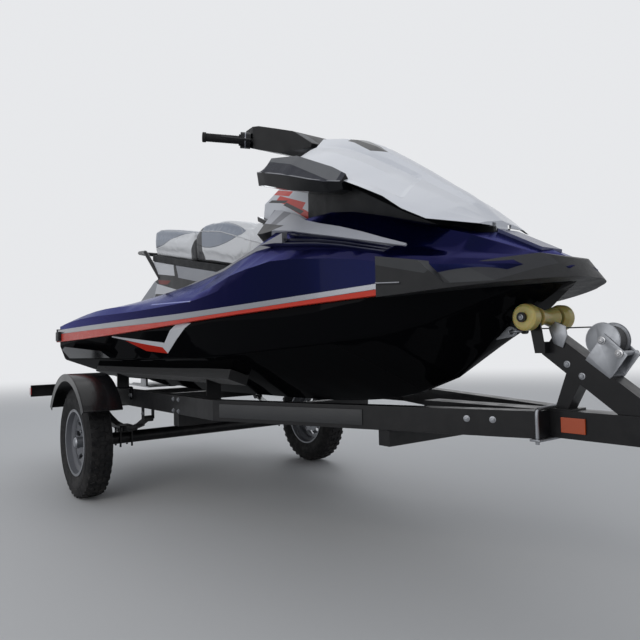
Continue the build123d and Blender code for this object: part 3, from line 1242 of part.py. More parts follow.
def winch_strap():
    """Webbing wound on the drum and drawn tight to the hook on the bow eye."""
    x, z = DRUM
    roll = rod_y(x, z, DRUM_R, -25, 25) - rod_y(x, z, 12 + SEAT_GAP, -30, 30)
    hook_x, hook_z = HOOK
    lead = slab([(x, z + DRUM_R - 3), (x, z + DRUM_R), (hook_x + 34, hook_z + 7), (hook_x + 34, hook_z + 4)], 25)
    loop = rod_y(hook_x + 22, hook_z, 9, -8, 8) - rod_y(hook_x + 22, hook_z, 6, -12, 12)
    taper = plan([(hook_x + 24, 8), (hook_x + 60, 25), (hook_x + 60, -25), (hook_x + 24, -8)], hook_z - 2, hook_z + 9)
    neck = slab([(hook_x + 25, hook_z + 4), (hook_x + 25, hook_z + 8), (hook_x + 60, hook_z + 8.4),
                 (hook_x + 60, hook_z + 4.2)], 25) & taper
    lead = lead - block(hook_x, hook_x + 58, 60, hook_z - 30, hook_z + 40)
    return roll + lead + neck + loop


def strap_hook():
    """Closed link through the bow eye and the strap's loop."""
    x, z = HOOK
    return Pos(x, 0, z) * Torus(22, 4)


def bow_eye():
    """Flat eye standing out of the stem."""
    x, z = HOOK
    hole = x - 22
    plate = slab([(hole - 70, z - 26), (hole - 70, z + 26), (hole, z + 15), (hole, z - 15)], 5)
    nose = rod_y(hole, z, 15, -5, 5)
    return (plate + nose) - rod_y(hole, z, 8, -9, 9)


def jack_mount():
    """Plate and pivot pin on the tongue's port side."""
    half = TONGUE_WIDE / 2
    plate = Pos(JACK_X, half + 4, RAIL_TOP_Z - RAIL_DEEP / 2) * Box(110, 8, RAIL_DEEP)
    boss = rod_y(JACK_X, JACK_Z, 32, half + 8, half + 22)
    pin = rod_y(JACK_X, JACK_Z, 11, half + 22, JACK_Y - JACK_R - 4)
    return plate + boss + pin


def jack():
    """Screw jack: outer tube with its pivot collar, inner tube, wheel fork and top crank."""
    y = JACK_Y
    tube = Pos(JACK_X, y, 475) * Cylinder(JACK_R, 560)
    cap = Pos(JACK_X, y, 762) * Cylinder(JACK_R + 4, 18)
    inner_y = TONGUE_WIDE / 2 + 22.5
    collar = rod_y(JACK_X, JACK_Z, 34, inner_y, y - 8)
    bore = rod_y(JACK_X, JACK_Z, 11 + RUNNING, inner_y - 4, y - JACK_R - 2)
    inner = Pos(JACK_X, y, 205) * Cylinder(JACK_R - 6, 84)
    crown_z = 2 * JACK_WHEEL_R + 9
    crown = Pos(JACK_X, y, crown_z) * Box(46, 76, 8)
    for side in (-35, 35):
        leg_low = JACK_WHEEL_R - 14
        crown = crown + Pos(JACK_X, y + side, (leg_low + crown_z) / 2) * Box(34, 6, crown_z - leg_low)
    shaft = rod_y(JACK_X, JACK_WHEEL_R, 6, y - 42, y + 42)
    rod = Pos(JACK_X, y, 780) * Cylinder(7, 30)
    arm = Pos(JACK_X - 55, y, 792) * Box(130, 16, 6)
    knob = Pos(JACK_X - 112, y, 822) * Cylinder(12, 60)
    return (tube + cap + collar + inner + crown + shaft + rod + arm + knob) - bore


def jack_wheel():
    y = JACK_Y
    r = JACK_WHEEL_R
    profile = [(-20, 6 + RUNNING), (-20, 22), (-12, 28), (-12, r - 24), (-22, r - 16), (-22, r - 4), (-18, r),
               (18, r), (22, r - 4), (22, r - 16), (12, r - 24), (12, 28), (20, 22), (20, 6 + RUNNING)]
    face = make_face(Polyline(*[(JACK_X, y + b, r + q) for b, q in profile], close=True))
    return revolve(face, axis=Axis((JACK_X, y, r), (0, 1, 0)), revolution_arc=360)


# Shell of the craft
outer = outline(-RAIL_DEPTH, -200, 1200)
shell = outer + Pos(-RAIL_DEPTH, 0, 0) * outer
bay = engine_bay()
tub = storage_bin()
hull = (hull_stock() & shell & below(BOND)) - tunnel() - intake() - bay
hinge_pocket = block(2980, 3072, 130, 560, 900)
deck = (deck_stock() & shell) - below(BOND) - footwell() - bay - tub - hinge_pocket
save("hull", craft(hull))
save("deck", craft(deck))
save("engine", craft(engine()))
save("deck_mats", [craft(part) for part in deck_mats()])

# Trim on the shell
for node, low_line, high_line in (("rail_lower", RAIL_BOTTOM, RAIL_SPLIT), ("rail_cap", RAIL_SPLIT, RAIL_TOP)):
    save(node, craft(rail_band(low_line, high_line, RAIL_AFT, BUMPER_AFT) - hull - deck))
save("bumpers", [craft(bow_bumper() - hull - deck), craft(stern_corners() - hull - deck - footwell())])
save("sponsons", [craft(part - hull) for part in both(sponsons())])

# Pedestal, seats and console
base = pedestal() - bay - deck
save("pedestal", craft(base))
save("seat_band", craft(seat_band() - base))
save("seat_rear", craft(seat_rear()))
save("seat_front", craft(seat_front()))
save("grab_handle", craft(grab_handle() - base))
column_bore = column_axis(0) * Cylinder(COLUMN_R + RUNNING, 2 * COLUMN_SUNK + 4)
dash = console() - deck - base - glovebox() - column_bore
for part in glove_hinge():
    dash = dash + part
save("console", craft(dash))
save("gauge", craft(gauge() - dash))
save("glove_lid", craft(glove_lid()))

# Hood, mirrors and the cowl below them
under = cowl() - deck - dash - tub
for part in hinge_ears():
    under = under + (part - deck)
under = under + rod_y(HOOD_HINGE[0], HOOD_HINGE[1], HOOD_PIN, -42, 42)
save("front_cowl", craft(under))
save("hood", craft(hood_shell()))
save("mirror_shells", [craft(part - hood_stock(0)) for part in both(mirror_shell())])
save("mirror_glass", [craft(part - shape) for part, shape in zip(both(mirror_glass()), both(mirror_shell()))])
panel, strip = fairing()
vents = [shape - deck - under - panel - strip for shape in side_vents()]
save("side_vents", [craft(part) for shape in vents for part in both(shape)])
save("side_fairings", [craft(part - deck - dash - under) for part in both(panel)])
strips = [shape - deck - side for shape, side in zip(both(strip), both(panel))]
save("deck_trim", [craft(part) for part in strips + [bow_ridge() - deck]])

# Steering
save("handlebar", craft(steering_bar()))
save("grips", [craft(part) for part in grips()])
save("controls", [craft(part) for part in controls() + [bar_pad() - steering_bar()]])

# Jet pump and stern
pump = pump_housing()
for part in pump_ears():
    pump = pump + part
save("pump_housing", craft(pump))
save("impeller", craft(impeller()))
save("steering_nozzle", craft(steering_nozzle()))
save("reverse_bucket", craft(reverse_bucket()))
save("ride_plate", [craft(ride_plate()), craft(intake_grate() - hull)])
save("boarding_step", craft(boarding_step()))
save("transom_fittings", [craft(part) for part in step_pins() + both(tow_eye(0, 300, 260, -19, 11))])

# Trailer frame
hull_here = Pos(-STERN_OVERHANG, 0, KEEL_HEIGHT) * hull
save("side_rails", [trailer(rail + bar) for rail, bar in zip(side_rails(), light_bars())])
save("draw_rails", [trailer(part) for part in draw_rails()])
save("tongue", trailer(tongue() + jack_mount()))
save("coupler", trailer(coupler()))
save("crossmembers", [trailer(part) for part in crossmembers()])
planks = bunks(hull_here)
save("bunks", [trailer(part) for part in planks])
save("bunk_brackets", [trailer(part) for part in bunk_brackets(planks, hull_here)])
save("fenders", [trailer(part) for part in fenders()])
amber, red = side_markers()
save("side_markers", [trailer(part) for part in both(amber)])
save("tail_lights", [trailer(part) for part in tail_lights() + both(red)])

# Axle and wheels
save("axle", trailer(axle()))
save("springs", [trailer(part) for part in springs()])
for name, side in (("left", 1), ("right", -1)):
    save("rim_" + name, trailer(rim(side)))
    save("tyre_" + name, trailer(tyre(side)))

# Winch post, winch and strap
post = winch_post()
save("winch_post", trailer(post))
save("bow_roller", [trailer(part) for part in bow_roller()])
save("winch", [trailer(winch() - post), trailer(winch_drum())])
save("winch_strap", trailer(winch_strap()))
save("bow_hook", [trailer(strap_hook()), trailer(bow_eye() - hull_here)])

# Jack
save("jack", trailer(jack()))
save("jack_wheel", trailer(jack_wheel()))
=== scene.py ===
# Looks of a personal watercraft on its trailer, both level, as parked on the trailer's jack.
# Metres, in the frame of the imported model: +X forward, +Y to port, +Z up, origin on the ground.

import math

import bmesh
import bpy
from mathutils import Matrix, Vector
from mathutils.bvhtree import BVHTree
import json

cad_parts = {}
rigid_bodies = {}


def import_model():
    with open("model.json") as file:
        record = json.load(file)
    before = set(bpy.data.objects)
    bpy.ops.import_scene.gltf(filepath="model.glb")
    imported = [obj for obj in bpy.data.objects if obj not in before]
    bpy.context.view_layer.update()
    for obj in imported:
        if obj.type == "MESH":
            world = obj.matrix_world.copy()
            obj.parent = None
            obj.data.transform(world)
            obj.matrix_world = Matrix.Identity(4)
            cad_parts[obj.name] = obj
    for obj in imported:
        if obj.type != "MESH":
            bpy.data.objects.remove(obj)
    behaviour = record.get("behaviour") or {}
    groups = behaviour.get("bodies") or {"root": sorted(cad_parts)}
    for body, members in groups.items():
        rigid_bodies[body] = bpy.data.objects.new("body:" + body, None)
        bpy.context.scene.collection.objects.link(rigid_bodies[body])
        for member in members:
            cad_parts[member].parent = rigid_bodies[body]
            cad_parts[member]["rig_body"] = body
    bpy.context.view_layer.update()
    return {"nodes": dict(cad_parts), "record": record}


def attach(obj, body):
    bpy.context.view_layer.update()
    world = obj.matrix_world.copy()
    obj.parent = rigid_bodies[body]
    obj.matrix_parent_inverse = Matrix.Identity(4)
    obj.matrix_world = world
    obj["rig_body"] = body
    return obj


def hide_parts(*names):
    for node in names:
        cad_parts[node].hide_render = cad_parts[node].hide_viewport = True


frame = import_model()
nodes = frame["nodes"]
slot_of = {entry["node"]: entry["material_slot"] for entry in frame["record"]["subparts"]}

# Places shared with the solids
ROOT = "craft_and_trailer"
TRANSOM_X = -2.1385          # craft stations are measured forward from here
KEEL_Z = 0.475               # craft heights are measured up from here
AXLE_X = -1.0335             # trailer stations are measured forward from here
AXLE_HEIGHT = 0.2665         # also the tyre's radius
WHEEL_HALF = 0.690           # half-breadth of a wheel's middle

# Camera, solved from the photograph
VIEW_WIDTH = 640
FOCAL_PX = 604
HORIZON_PX = 327
CAMERA_AZIMUTH = 52.6        # degrees, 0 looks along +Y
CAMERA_LEAN = 2.2            # degrees the parked object leans nose up in the photograph
CAMERA_PLACE = (2.0460, -1.58, 0.7103)
SENSOR = 36

# Edges and shading
EASE_ANGLE = 28              # degrees, edges sharper than this are rounded
SMOOTH_ANGLE = 30
ROUND_ANGLE = 60
CREASE_ANGLE = 11
CRISP_NODES = ("side_vents", "winch", "tyre_left", "tyre_right")
EDGE_WIDTH = 0.0015
EDGE_WIDTHS = {"hull": 0.003, "deck": 0.004, "hood": 0.003, "mirror_shells": 0.003, "bumpers": 0.004,
               "side_fairings": 0.003, "fenders": 0.001, "winch_strap": 0.0005, "tyre_left": 0.003,
               "tyre_right": 0.003, "pedestal": 0.008, "console": 0.006, "gauge": 0.006, "seat_band": 0.003}
HOOD_HOLLOW = [(2150, 107), (2790, 66), (2872, 250), (2100, 372)]
HOLLOW_SLOPE = 0.016         # width of the hollow's sloping border
HOLLOW_DEPTH = 0.006


def new_object(name, data):
    piece = bpy.data.objects.new(name, data)
    bpy.context.scene.collection.objects.link(piece)
    return piece


def place_camera():
    azimuth = math.radians(CAMERA_AZIMUTH)
    pitch = math.atan((HORIZON_PX - VIEW_WIDTH / 2) / FOCAL_PX)
    level = Vector((-math.sin(azimuth), math.cos(azimuth), 0))
    right = Vector((math.cos(azimuth), math.sin(azimuth), 0))
    ahead = level * math.cos(pitch) + Vector((0, 0, math.sin(pitch)))
    up = right.cross(ahead)
    lean = Matrix.Rotation(math.radians(CAMERA_LEAN), 3, "Y")
    turn = Matrix((lean @ right, lean @ up, lean @ -ahead)).transposed()
    data = bpy.data.cameras.new("photo_camera")
    data.sensor_width = SENSOR
    data.lens = FOCAL_PX / VIEW_WIDTH * SENSOR
    data.clip_start = 0.05
    data.clip_end = 200
    camera = new_object("photo_camera", data)
    camera.matrix_world = Matrix.Translation(CAMERA_PLACE) @ turn.to_4x4()
    bpy.context.scene.camera = camera


place_camera()


def craft(station, half, height):
    """A place given by craft station, half-breadth to port and height above the keel, in millimetres."""
    return Vector((TRANSOM_X + station / 1000, half / 1000, KEEL_Z + height / 1000))


def trailer(station, half, height):
    """A place given by trailer station, half-breadth to port and height above the ground, in millimetres."""
    return Vector((AXLE_X + station / 1000, half / 1000, height / 1000))


# Selection and finishing

def activate(piece):
    bpy.ops.object.select_all(action="DESELECT")
    piece.select_set(True)
    bpy.context.view_layer.objects.active = piece


def edit(piece):
    """Open a piece in edit mode with everything selected."""
    activate(piece)
    bpy.ops.object.mode_set(mode="EDIT")
    bpy.ops.mesh.select_all(action="SELECT")


def stop_editing():
    bpy.ops.object.mode_set(mode="OBJECT")


def modified(piece, kind, **values):
    """Give the piece a modifier with these values and apply it."""
    modifier = piece.modifiers.new(kind.lower(), kind)
    for key, value in values.items():
        setattr(modifier, key, value)
    activate(piece)
    bpy.ops.object.modifier_apply(modifier=modifier.name)


def settle(piece):
    """Put the piece's place into its mesh, so that its object sits at the origin."""
    activate(piece)
    bpy.ops.object.transform_apply(location=True, rotation=True, scale=True)


def smooth(piece, angle=SMOOTH_ANGLE):
    activate(piece)
    bpy.ops.object.shade_smooth_by_angle(angle=math.radians(angle))


def eased(piece, width):
    """Round the sharp edges by a bevel of that width."""
    modified(piece, "BEVEL", width=width, segments=2, limit_method="ANGLE", angle_limit=math.radians(EASE_ANGLE),
             use_clamp_overlap=True)


def to_both_sides(piece):
    """Repeat a piece of one side on the other."""
    modified(piece, "MIRROR", use_axis=(False, True, False), use_mirror_merge=False)
    return piece


def joined(name, pieces):
    bpy.ops.object.select_all(action="DESELECT")
    for piece in pieces:
        piece.select_set(True)
    bpy.context.view_layer.objects.active = pieces[0]
    if len(pieces) > 1:
        bpy.ops.object.join()
    pieces[0].name = name
    return pieces[0]


def choose_faces(piece, wanted):
    """Select in edit mode the faces whose normal passes."""
    mesh = bmesh.from_edit_mesh(piece.data)
    bpy.ops.mesh.select_mode(type="FACE")
    bpy.ops.mesh.select_all(action="DESELECT")
    for face in mesh.faces:
        face.select_set(bool(wanted(face.normal)))
    bmesh.update_edit_mesh(piece.data)


def choose_edges(piece, wanted):
    """Select in edit mode the edges whose middle and direction pass."""
    mesh = bmesh.from_edit_mesh(piece.data)
    bpy.ops.mesh.select_mode(type="EDGE")
    bpy.ops.mesh.select_all(action="DESELECT")
    for edge in mesh.edges:
        first, last = edge.verts
        edge.select_set(bool(wanted((first.co + last.co) / 2, (last.co - first.co).normalized())))
    bmesh.update_edit_mesh(piece.data)


def merged_copy(node, name):
    """A copy of a node's mesh with its loose triangles joined."""
    piece = new_object(name, nodes[node].data.copy())
    activate(piece)
    bpy.ops.mesh.customdata_custom_splitnormals_clear()
    edit(piece)
    bpy.ops.mesh.remove_doubles(threshold=0.00003)
    bpy.ops.mesh.dissolve_limited(angle_limit=math.radians(0.2))
    stop_editing()
    return piece


def dress(piece, material, body, slot, *replaced):
    piece.data.materials.clear()
    piece.data.materials.append(material)
    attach(piece, body)
    if replaced:
        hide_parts(*replaced)


def dress_as(piece, slot, body=ROOT):
    """Dress a piece that stands for no node in its slot's own finish."""
    dress(piece, finish[slot], body, slot)


def sunk_zone(piece, corners, slope, depth):
    """Let in a four-cornered zone of a shell, given in plan and alike on both sides, with a sloping border."""
    points = [craft(station, half, 0) for station, half in corners]
    sides = []
    edit(piece)
    for first, last in zip(points, points[1:] + points[:1]):
        outward = (last - first).cross(Vector((0, 0, 1))).normalized()
        sides.append((first, outward))
        for step in (-slope / 2, slope / 2):
            place = first + outward * step
            for side in (1, -1):
                bpy.ops.mesh.select_all(action="SELECT")
                bpy.ops.mesh.bisect(plane_co=(place.x, place.y * side, 0),
                                    plane_no=(outward.x, outward.y * side, 0))
    stop_editing()
    for vertex in piece.data.vertices:
        place = Vector((vertex.co.x, abs(vertex.co.y), 0))
        inside = min((first - place).dot(outward) for first, outward in sides)
        vertex.co.z -= depth * min(1, max(0, inside / slope + 0.5))


def redress(node, material):
    """Give a node's finished piece a material of its own."""
    dress(dressed_nodes[node], material, nodes[node]["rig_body"], slot_of[node], node)


def dressed(node):
    """The node's own shape with eased edges and its slot's finish, standing for the node."""
    piece = merged_copy(node, node + "_finished")
    if node == "hood":
        sunk_zone(piece, HOOD_HOLLOW, HOLLOW_SLOPE, HOLLOW_DEPTH)
    eased(piece, EDGE_WIDTHS.get(node, EDGE_WIDTH))
    smooth(piece, CREASE_ANGLE if node == "hood" else EASE_ANGLE)
    if node not in CRISP_NODES:
        modified(piece, "WEIGHTED_NORMAL", keep_sharp=True, weight=80)
    dress(piece, finish[slot_of[node]], nodes[node]["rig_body"], slot_of[node], node)
    return piece


def second_finish(piece, material, wanted):
    """Give another finish to the faces whose centre and normal pass."""
    piece.data.materials.append(material)
    index = len(piece.data.materials) - 1
    for face in piece.data.polygons:
        if wanted(face.center, face.normal):
            face.material_index = index


# Basic shapes

def primitive(name, make, **values):
    """One of the ready-made meshes, its place and turn put into its points."""
    bpy.ops.object.select_all(action="DESELECT")
    make(**values)
    piece = bpy.context.object
    piece.name = name
    settle(piece)
    return piece


def plate(name, outline, low, high, axis="Y", width=0.001):
    """A flat piece: a filled ring drawn out to the outline's places and extruded from low to high along the axis."""
    piece = primitive(name, bpy.ops.mesh.primitive_circle_add, vertices=len(outline), radius=0.01, fill_type="NGON")
    along = "XYZ".index(axis)
    for vertex, place in zip(piece.data.vertices, outline):
        vertex.co = place
        vertex.co[along] = low
    shift = [0, 0, 0]
    shift[along] = high - low
    edit(piece)
    bpy.ops.mesh.extrude_region_move(TRANSFORM_OT_translate={"value": shift})
    bpy.ops.mesh.select_all(action="SELECT")
    bpy.ops.mesh.normals_make_consistent(inside=False)
    stop_editing()
    eased(piece, width)
    smooth(piece)
    return piece


def strip(name, foot, along, out, span, rise, half, width):
    """A plate across the centre plane: from and to along one direction, from and to along the other."""
    (first, last), (low, high) = span, rise
    corners = [foot + along * first + out * low, foot + along * last + out * low,
               foot + along * last + out * high, foot + along * first + out * high]
    return plate(name, corners, -half, half, "Y", width)


def round_bar(name, start, end, radius, sides=20, width=0.0008):
    """A straight round bar or disc between two places, its ends eased."""
    start, end = Vector(start), Vector(end)
    along = end - start
    piece = primitive(name, bpy.ops.mesh.primitive_cylinder_add, vertices=sides, radius=radius, depth=along.length,
                      location=(start + end) / 2, rotation=along.to_track_quat("Z", "Y").to_euler())
    eased(piece, width)
    smooth(piece)
    return piece


def bent_bar(name, points, radius):
    """A round bar or cord bent through the points, as a mesh."""
    data = bpy.data.curves.new(name, "CURVE")
    data.dimensions = "3D"
    data.bevel_depth = radius
    data.bevel_resolution = 3
    data.use_fill_caps = True
    data.resolution_u = 8
    line = data.splines.new("NURBS")
    line.points.add(len(points) - 1)
    for place, point in zip(points, line.points):
        point.co = (*place, 1)
    line.order_u = 3
    line.use_endpoint_u = True
    activate(new_object(name, data))
    bpy.ops.object.convert(target="MESH")
    bar = bpy.context.object
    smooth(bar, 50)
    return bar


def ring(name, place, along, radius, thickness, sides=24):
    piece = primitive(name, bpy.ops.mesh.primitive_torus_add, location=place, major_radius=radius,
                      minor_radius=thickness, major_segments=sides, minor_segments=6,
                      rotation=along.to_track_quat("Z", "Y").to_euler())
    smooth(piece, ROUND_ANGLE)
    return piece


def hexagon_bolt(name, radius):
    """A hexagon head on its washer, facing +Z from the origin."""
    washer = round_bar(name, (0, 0, 0), (0, 0, radius * 0.22), radius * 1.75, 20, radius * 0.06)
    head = primitive(name + "_head", bpy.ops.mesh.primitive_cylinder_add, vertices=6, radius=radius * 1.15,
                     depth=radius * 0.75, location=(0, 0, radius * 0.6))
    edit(head)
    choose_faces(head, lambda normal: normal.z > 0.9)
    bpy.ops.mesh.inset(thickness=radius * 0.16)
    bpy.ops.transform.translate(value=(0, 0, radius * 0.1))
    stop_editing()
    thread = round_bar(name + "_end", (0, 0, radius * 0.9), (0, 0, radius * 1.35), radius * 0.55, 12, radius * 0.08)
    return joined(name, [washer, head, thread])


def turned_to(place, direction):
    """What takes a piece facing +Z at the origin to a place and a direction."""
    return Matrix.Translation(place) @ Vector(direction).to_track_quat("Z", "Y").to_matrix().to_4x4()


def copies_of(piece, name, places):
    """Copies of a piece, one under each matrix, instead of the piece."""
    copies = []
    for place in places:
        copy = new_object(name, piece.data.copy())
        copy.data.transform(place)
        copies.append(copy)
    bpy.data.objects.remove(piece)
    return copies


def bolts(name, radius, places, slot):
    """Bolts at places and directions, as one piece in a slot's finish."""
    turned = [turned_to(place, direction) for place, direction in places]
    dress_as(joined(name, copies_of(hexagon_bolt("bolt", radius), name, turned)), slot)


# Shader helpers

def feed(tree, value, socket):
    """Link a socket to another node's, or give it a value."""
    if isinstance(value, bpy.types.NodeSocket):
        tree.links.new(value, socket)
    else:
        socket.default_value = value


def add(tree, kind, **values):
    """A shader node, its properties set and its sockets fed."""
    node = tree.nodes.new("ShaderNode" + kind)
    for key, value in values.items():
        if hasattr(node, key):
            setattr(node, key, value)
        else:
            feed(tree, value, node.inputs[key.replace("_", " ")])
    return node


def calculated(tree, node, given):
    for socket, value in zip(node.inputs, given):
        feed(tree, value, socket)
    return node.outputs


def math_node(tree, operation, *given, clamp=False):
    return calculated(tree, add(tree, "Math", operation=operation, use_clamp=clamp), given)[0]


def vector_node(tree, operation, *given):
    outputs = calculated(tree, add(tree, "VectorMath", operation=operation), given)
    return outputs["Value"] if operation in ("DOT_PRODUCT", "LENGTH") else outputs["Vector"]


def object_place(tree):
    return add(tree, "TexCoord").outputs["Object"]


def object_axes(tree):
    return add(tree, "SeparateXYZ", Vector=object_place(tree)).outputs


def group(name, outputs, **inputs):
    """A shader node group with float sockets, or vector sockets where no value is given."""
    tree = bpy.data.node_groups.new(name, "ShaderNodeTree")
    for label, value in inputs.items():
        kind = "NodeSocketVector" if value is None else "NodeSocketFloat"
        socket = tree.interface.new_socket(label, in_out="INPUT", socket_type=kind)
        if value is not None:
            socket.default_value = value
    for label in outputs:
        tree.interface.new_socket(label, in_out="OUTPUT", socket_type="NodeSocketFloat")
    return tree, tree.nodes.new("NodeGroupInput").outputs, tree.nodes.new("NodeGroupOutput").inputs


def blotch_group():
    """Large soft blotches between two values, for gloss that isn't the same all over."""
    tree, given, made = group("soft_blotches", ["Value"], Scale=6.0, Low=0.1, High=0.2)
    noise = add(tree, "TexNoise", Detail=4.0, Roughness=0.6, Vector=object_place(tree), Scale=given["Scale"])
    spread = add(tree, "MapRange", From_Min=0.32, From_Max=0.68, Value=noise.outputs[0], To_Min=given["Low"],
                 To_Max=given["High"])
    feed(tree, spread.outputs[0], made["Value"])
    return tree


def grain_group():
    """Moulded or leather grain: cells with soft creases, and a finer pebble over them."""
    tree, given, made = group("fine_grain", ["Height"], Scale=900.0, Pebble=0.4)
    place = object_place(tree)
    cells = add(tree, "TexVoronoi", feature="DISTANCE_TO_EDGE", Vector=place, Scale=given["Scale"])
    crease = add(tree, "MapRange", From_Min=0.0, From_Max=0.22, Value=cells.outputs["Distance"])
    pebble = add(tree, "TexNoise", Detail=3.0, Vector=place, Scale=math_node(tree, "MULTIPLY", given["Scale"], 1.7))
    soft = math_node(tree, "MULTIPLY", pebble.outputs[0], given["Pebble"])
    feed(tree, math_node(tree, "ADD", crease.outputs[0], soft), made["Height"])
    return tree


def weave_group():
    """Plain weave of webbing or cloth in two directions of the object's own axes."""
    tree, given, made = group("plain_weave", ["Height"], Threads=700.0)
    axes = object_axes(tree)
    waves = []
    for axis in ("Y", "X"):
        turns = math_node(tree, "MULTIPLY", axes[axis], given["Threads"])
        waves.append(math_node(tree, "SINE", math_node(tree, "MULTIPLY", turns, 6.2832)))
    crossing = math_node(tree, "MULTIPLY", *waves)
    feed(tree, math_node(tree, "MULTIPLY", crossing, 0.5), made["Height"])
    return tree


def dust_group():
    """Pale road dust: strong low down, broken up by noise."""
    tree, given, made = group("road_dust", ["Mask"], Reach=0.5, Amount=0.4)
    share = math_node(tree, "DIVIDE", object_axes(tree)["Z"], given["Reach"])
    low = math_node(tree, "SUBTRACT", 1.0, share, clamp=True)
    noise = add(tree, "TexNoise", Scale=22.0, Detail=8.0, Roughness=0.7, Vector=object_place(tree))
    broken = add(tree, "MapRange", From_Min=0.42, From_Max=0.72, Value=noise.outputs[0])
    mask = math_node(tree, "MULTIPLY", math_node(tree, "ADD", low, 0.12), broken.outputs[0])
    feed(tree, math_node(tree, "MULTIPLY", mask, given["Amount"], clamp=True), made["Mask"])
    return tree


def flake_group():
    """Metal flakes in paint: each tiny cell a little lighter or darker."""
    tree, given, made = group("metal_flake", ["Value"], Scale=1800.0, Depth=0.3)
    cells = add(tree, "TexVoronoi", Vector=object_place(tree), Scale=given["Scale"])
    lightness = add(tree, "SeparateColor", Color=cells.outputs["Color"]).outputs[0]
    spread = math_node(tree, "MULTIPLY", math_node(tree, "SUBTRACT", lightness, 0.5), given["Depth"])
    feed(tree, math_node(tree, "ADD", spread, 1.0), made["Value"])
    return tree


CORNERS = ("First", "Second", "Third", "Fourth")
PATCH_BORDER = 0.0006


def patch_group():
    """A patch with four corners, given anticlockwise in the plane of X and Z; 1 inside and 0 outside."""
    tree, given, made = group("four_corner_patch", ["Mask"], Place=None, First=None, Second=None, Third=None,
                              Fourth=None)
    inside = None
    for corner, following in zip(CORNERS, CORNERS[1:] + CORNERS[:1]):
        side = vector_node(tree, "SUBTRACT", given[following], given[corner])
        inward = vector_node(tree, "NORMALIZE", vector_node(tree, "CROSS_PRODUCT", side, (0, 1, 0)))
        reach = vector_node(tree, "SUBTRACT", given["Place"], given[corner])
        depth = vector_node(tree, "DOT_PRODUCT", reach, inward)
        inside = depth if inside is None else math_node(tree, "MINIMUM", inside, depth)
    share = math_node(tree, "DIVIDE", inside, PATCH_BORDER)
    feed(tree, math_node(tree, "ADD", share, 0.5, clamp=True), made["Mask"])
    return tree


def groove_group():
    """A sewn groove with stitches where a value passes through zero: depth for the bump, and thread."""
    tree, given, made = group("sewn_groove", ["Height", "Thread"], Distance=0.0, Width=0.003, Along=0.0)
    away = math_node(tree, "ABSOLUTE", given["Distance"])
    feed(tree, math_node(tree, "DIVIDE", away, given["Width"], clamp=True), made["Height"])
    beside = math_node(tree, "ABSOLUTE", math_node(tree, "SUBTRACT", given["Distance"], 0.005))
    near = math_node(tree, "LESS_THAN", beside, 0.0007)
    pitch = math_node(tree, "FRACT", math_node(tree, "MULTIPLY", given["Along"], 190.0))
    feed(tree, math_node(tree, "MULTIPLY", near, math_node(tree, "LESS_THAN", pitch, 0.68)), made["Thread"])
    return tree


blotches = blotch_group()
fine_grain = grain_group()
plain_weave = weave_group()
road_dust = dust_group()
metal_flake = flake_group()
four_corner_patch = patch_group()
sewn_groove = groove_group()


def shader_of(material):
    return material.node_tree.nodes["Principled BSDF"]


def placed(material, group_tree, **values):
    """The outputs of a shared group placed in a material with its own values."""
    node = material.node_tree.nodes.new("ShaderNodeGroup")
    node.node_tree = group_tree
    for key, value in values.items():
        feed(material.node_tree, value, node.inputs[key])
    return node.outputs


def surface(name, colour, metallic=0.0, coat=0.0, roughness=0.4, **sockets):
    """A material with its plain values on the shader's own sockets."""
    material = bpy.data.materials.new(name)
    material.use_nodes = True
    values = {"Base Color": (*colour, 1), "Metallic": metallic, "Roughness": roughness, "Coat Weight": coat,
              "Coat Roughness": 0.04, **sockets}
    for key, value in values.items():
        shader_of(material).inputs[key.replace("_", " ")].default_value = value
    return material


def vary_gloss(material, low, high, scale=6.0):
    node = placed(material, blotches, Scale=scale, Low=low, High=high)
    material.node_tree.links.new(node[0], shader_of(material).inputs["Roughness"])


def raised(material, height, strength, distance):
    """Bump by a height, over the bump that the material has so far."""
    tree = material.node_tree
    normal = shader_of(material).inputs["Normal"]
    bump = add(tree, "Bump", Strength=strength, Distance=distance, Height=height)
    if normal.is_linked:
        tree.links.new(normal.links[0].from_socket, bump.inputs["Normal"])
    tree.links.new(bump.outputs[0], normal)


def raise_grain(material, scale, depth, strength=0.6):
    raised(material, placed(material, fine_grain, Scale=scale, Pebble=0.4)[0], strength, depth)


def lay_over(material, colour, mask):
    """Mix a colour over what the base colour has so far, by a mask."""
    tree = material.node_tree
    base = shader_of(material).inputs["Base Color"]
    mix = add(tree, "Mix", data_type="RGBA")
    feed(tree, mask, mix.inputs[0])
    feed(tree, base.links[0].from_socket if base.is_linked else base.default_value, mix.inputs[6])
    mix.inputs[7].default_value = (*colour, 1)
    tree.links.new(mix.outputs[2], base)


def dust_over(material, dust, reach, amount):
    lay_over(material, dust, placed(material, road_dust, Reach=reach, Amount=amount)[0])


def paint(material, colour, *patches, plan=False):
    """Lay a colour over four-cornered patches.

    The corners are in millimetres: craft station and height, or station and half-breadth in plan.
    """
    tree = material.node_tree
    for corners in patches:
        place = object_place(tree)
        points = [craft(x, 0, z) for x, z in corners]
        if plan:
            axes = object_axes(tree)
            place = add(tree, "CombineXYZ", X=axes["X"], Z=math_node(tree, "ABSOLUTE", axes["Y"])).outputs[0]
            points = [Vector((TRANSOM_X + x / 1000, 0, y / 1000)) for x, y in corners]
        turned = sum(a.x * b.z - b.x * a.z for a, b in zip(points, points[1:] + points[:1]))
        if turned < 0:
            points.reverse()
        given = dict(zip(CORNERS, points))
        lay_over(material, colour, placed(material, four_corner_patch, Place=place, **given)[0])


def stroke(first, last, thick, lean):
    """Corners of a straight stroke between two places, its ends leaning by so much."""
    (xa, za), (xb, zb) = first, last
    return [(xa - lean, za - thick), (xb - lean, zb - thick), (xb + lean, zb + thick), (xa + lean, za + thick)]


# Finishes

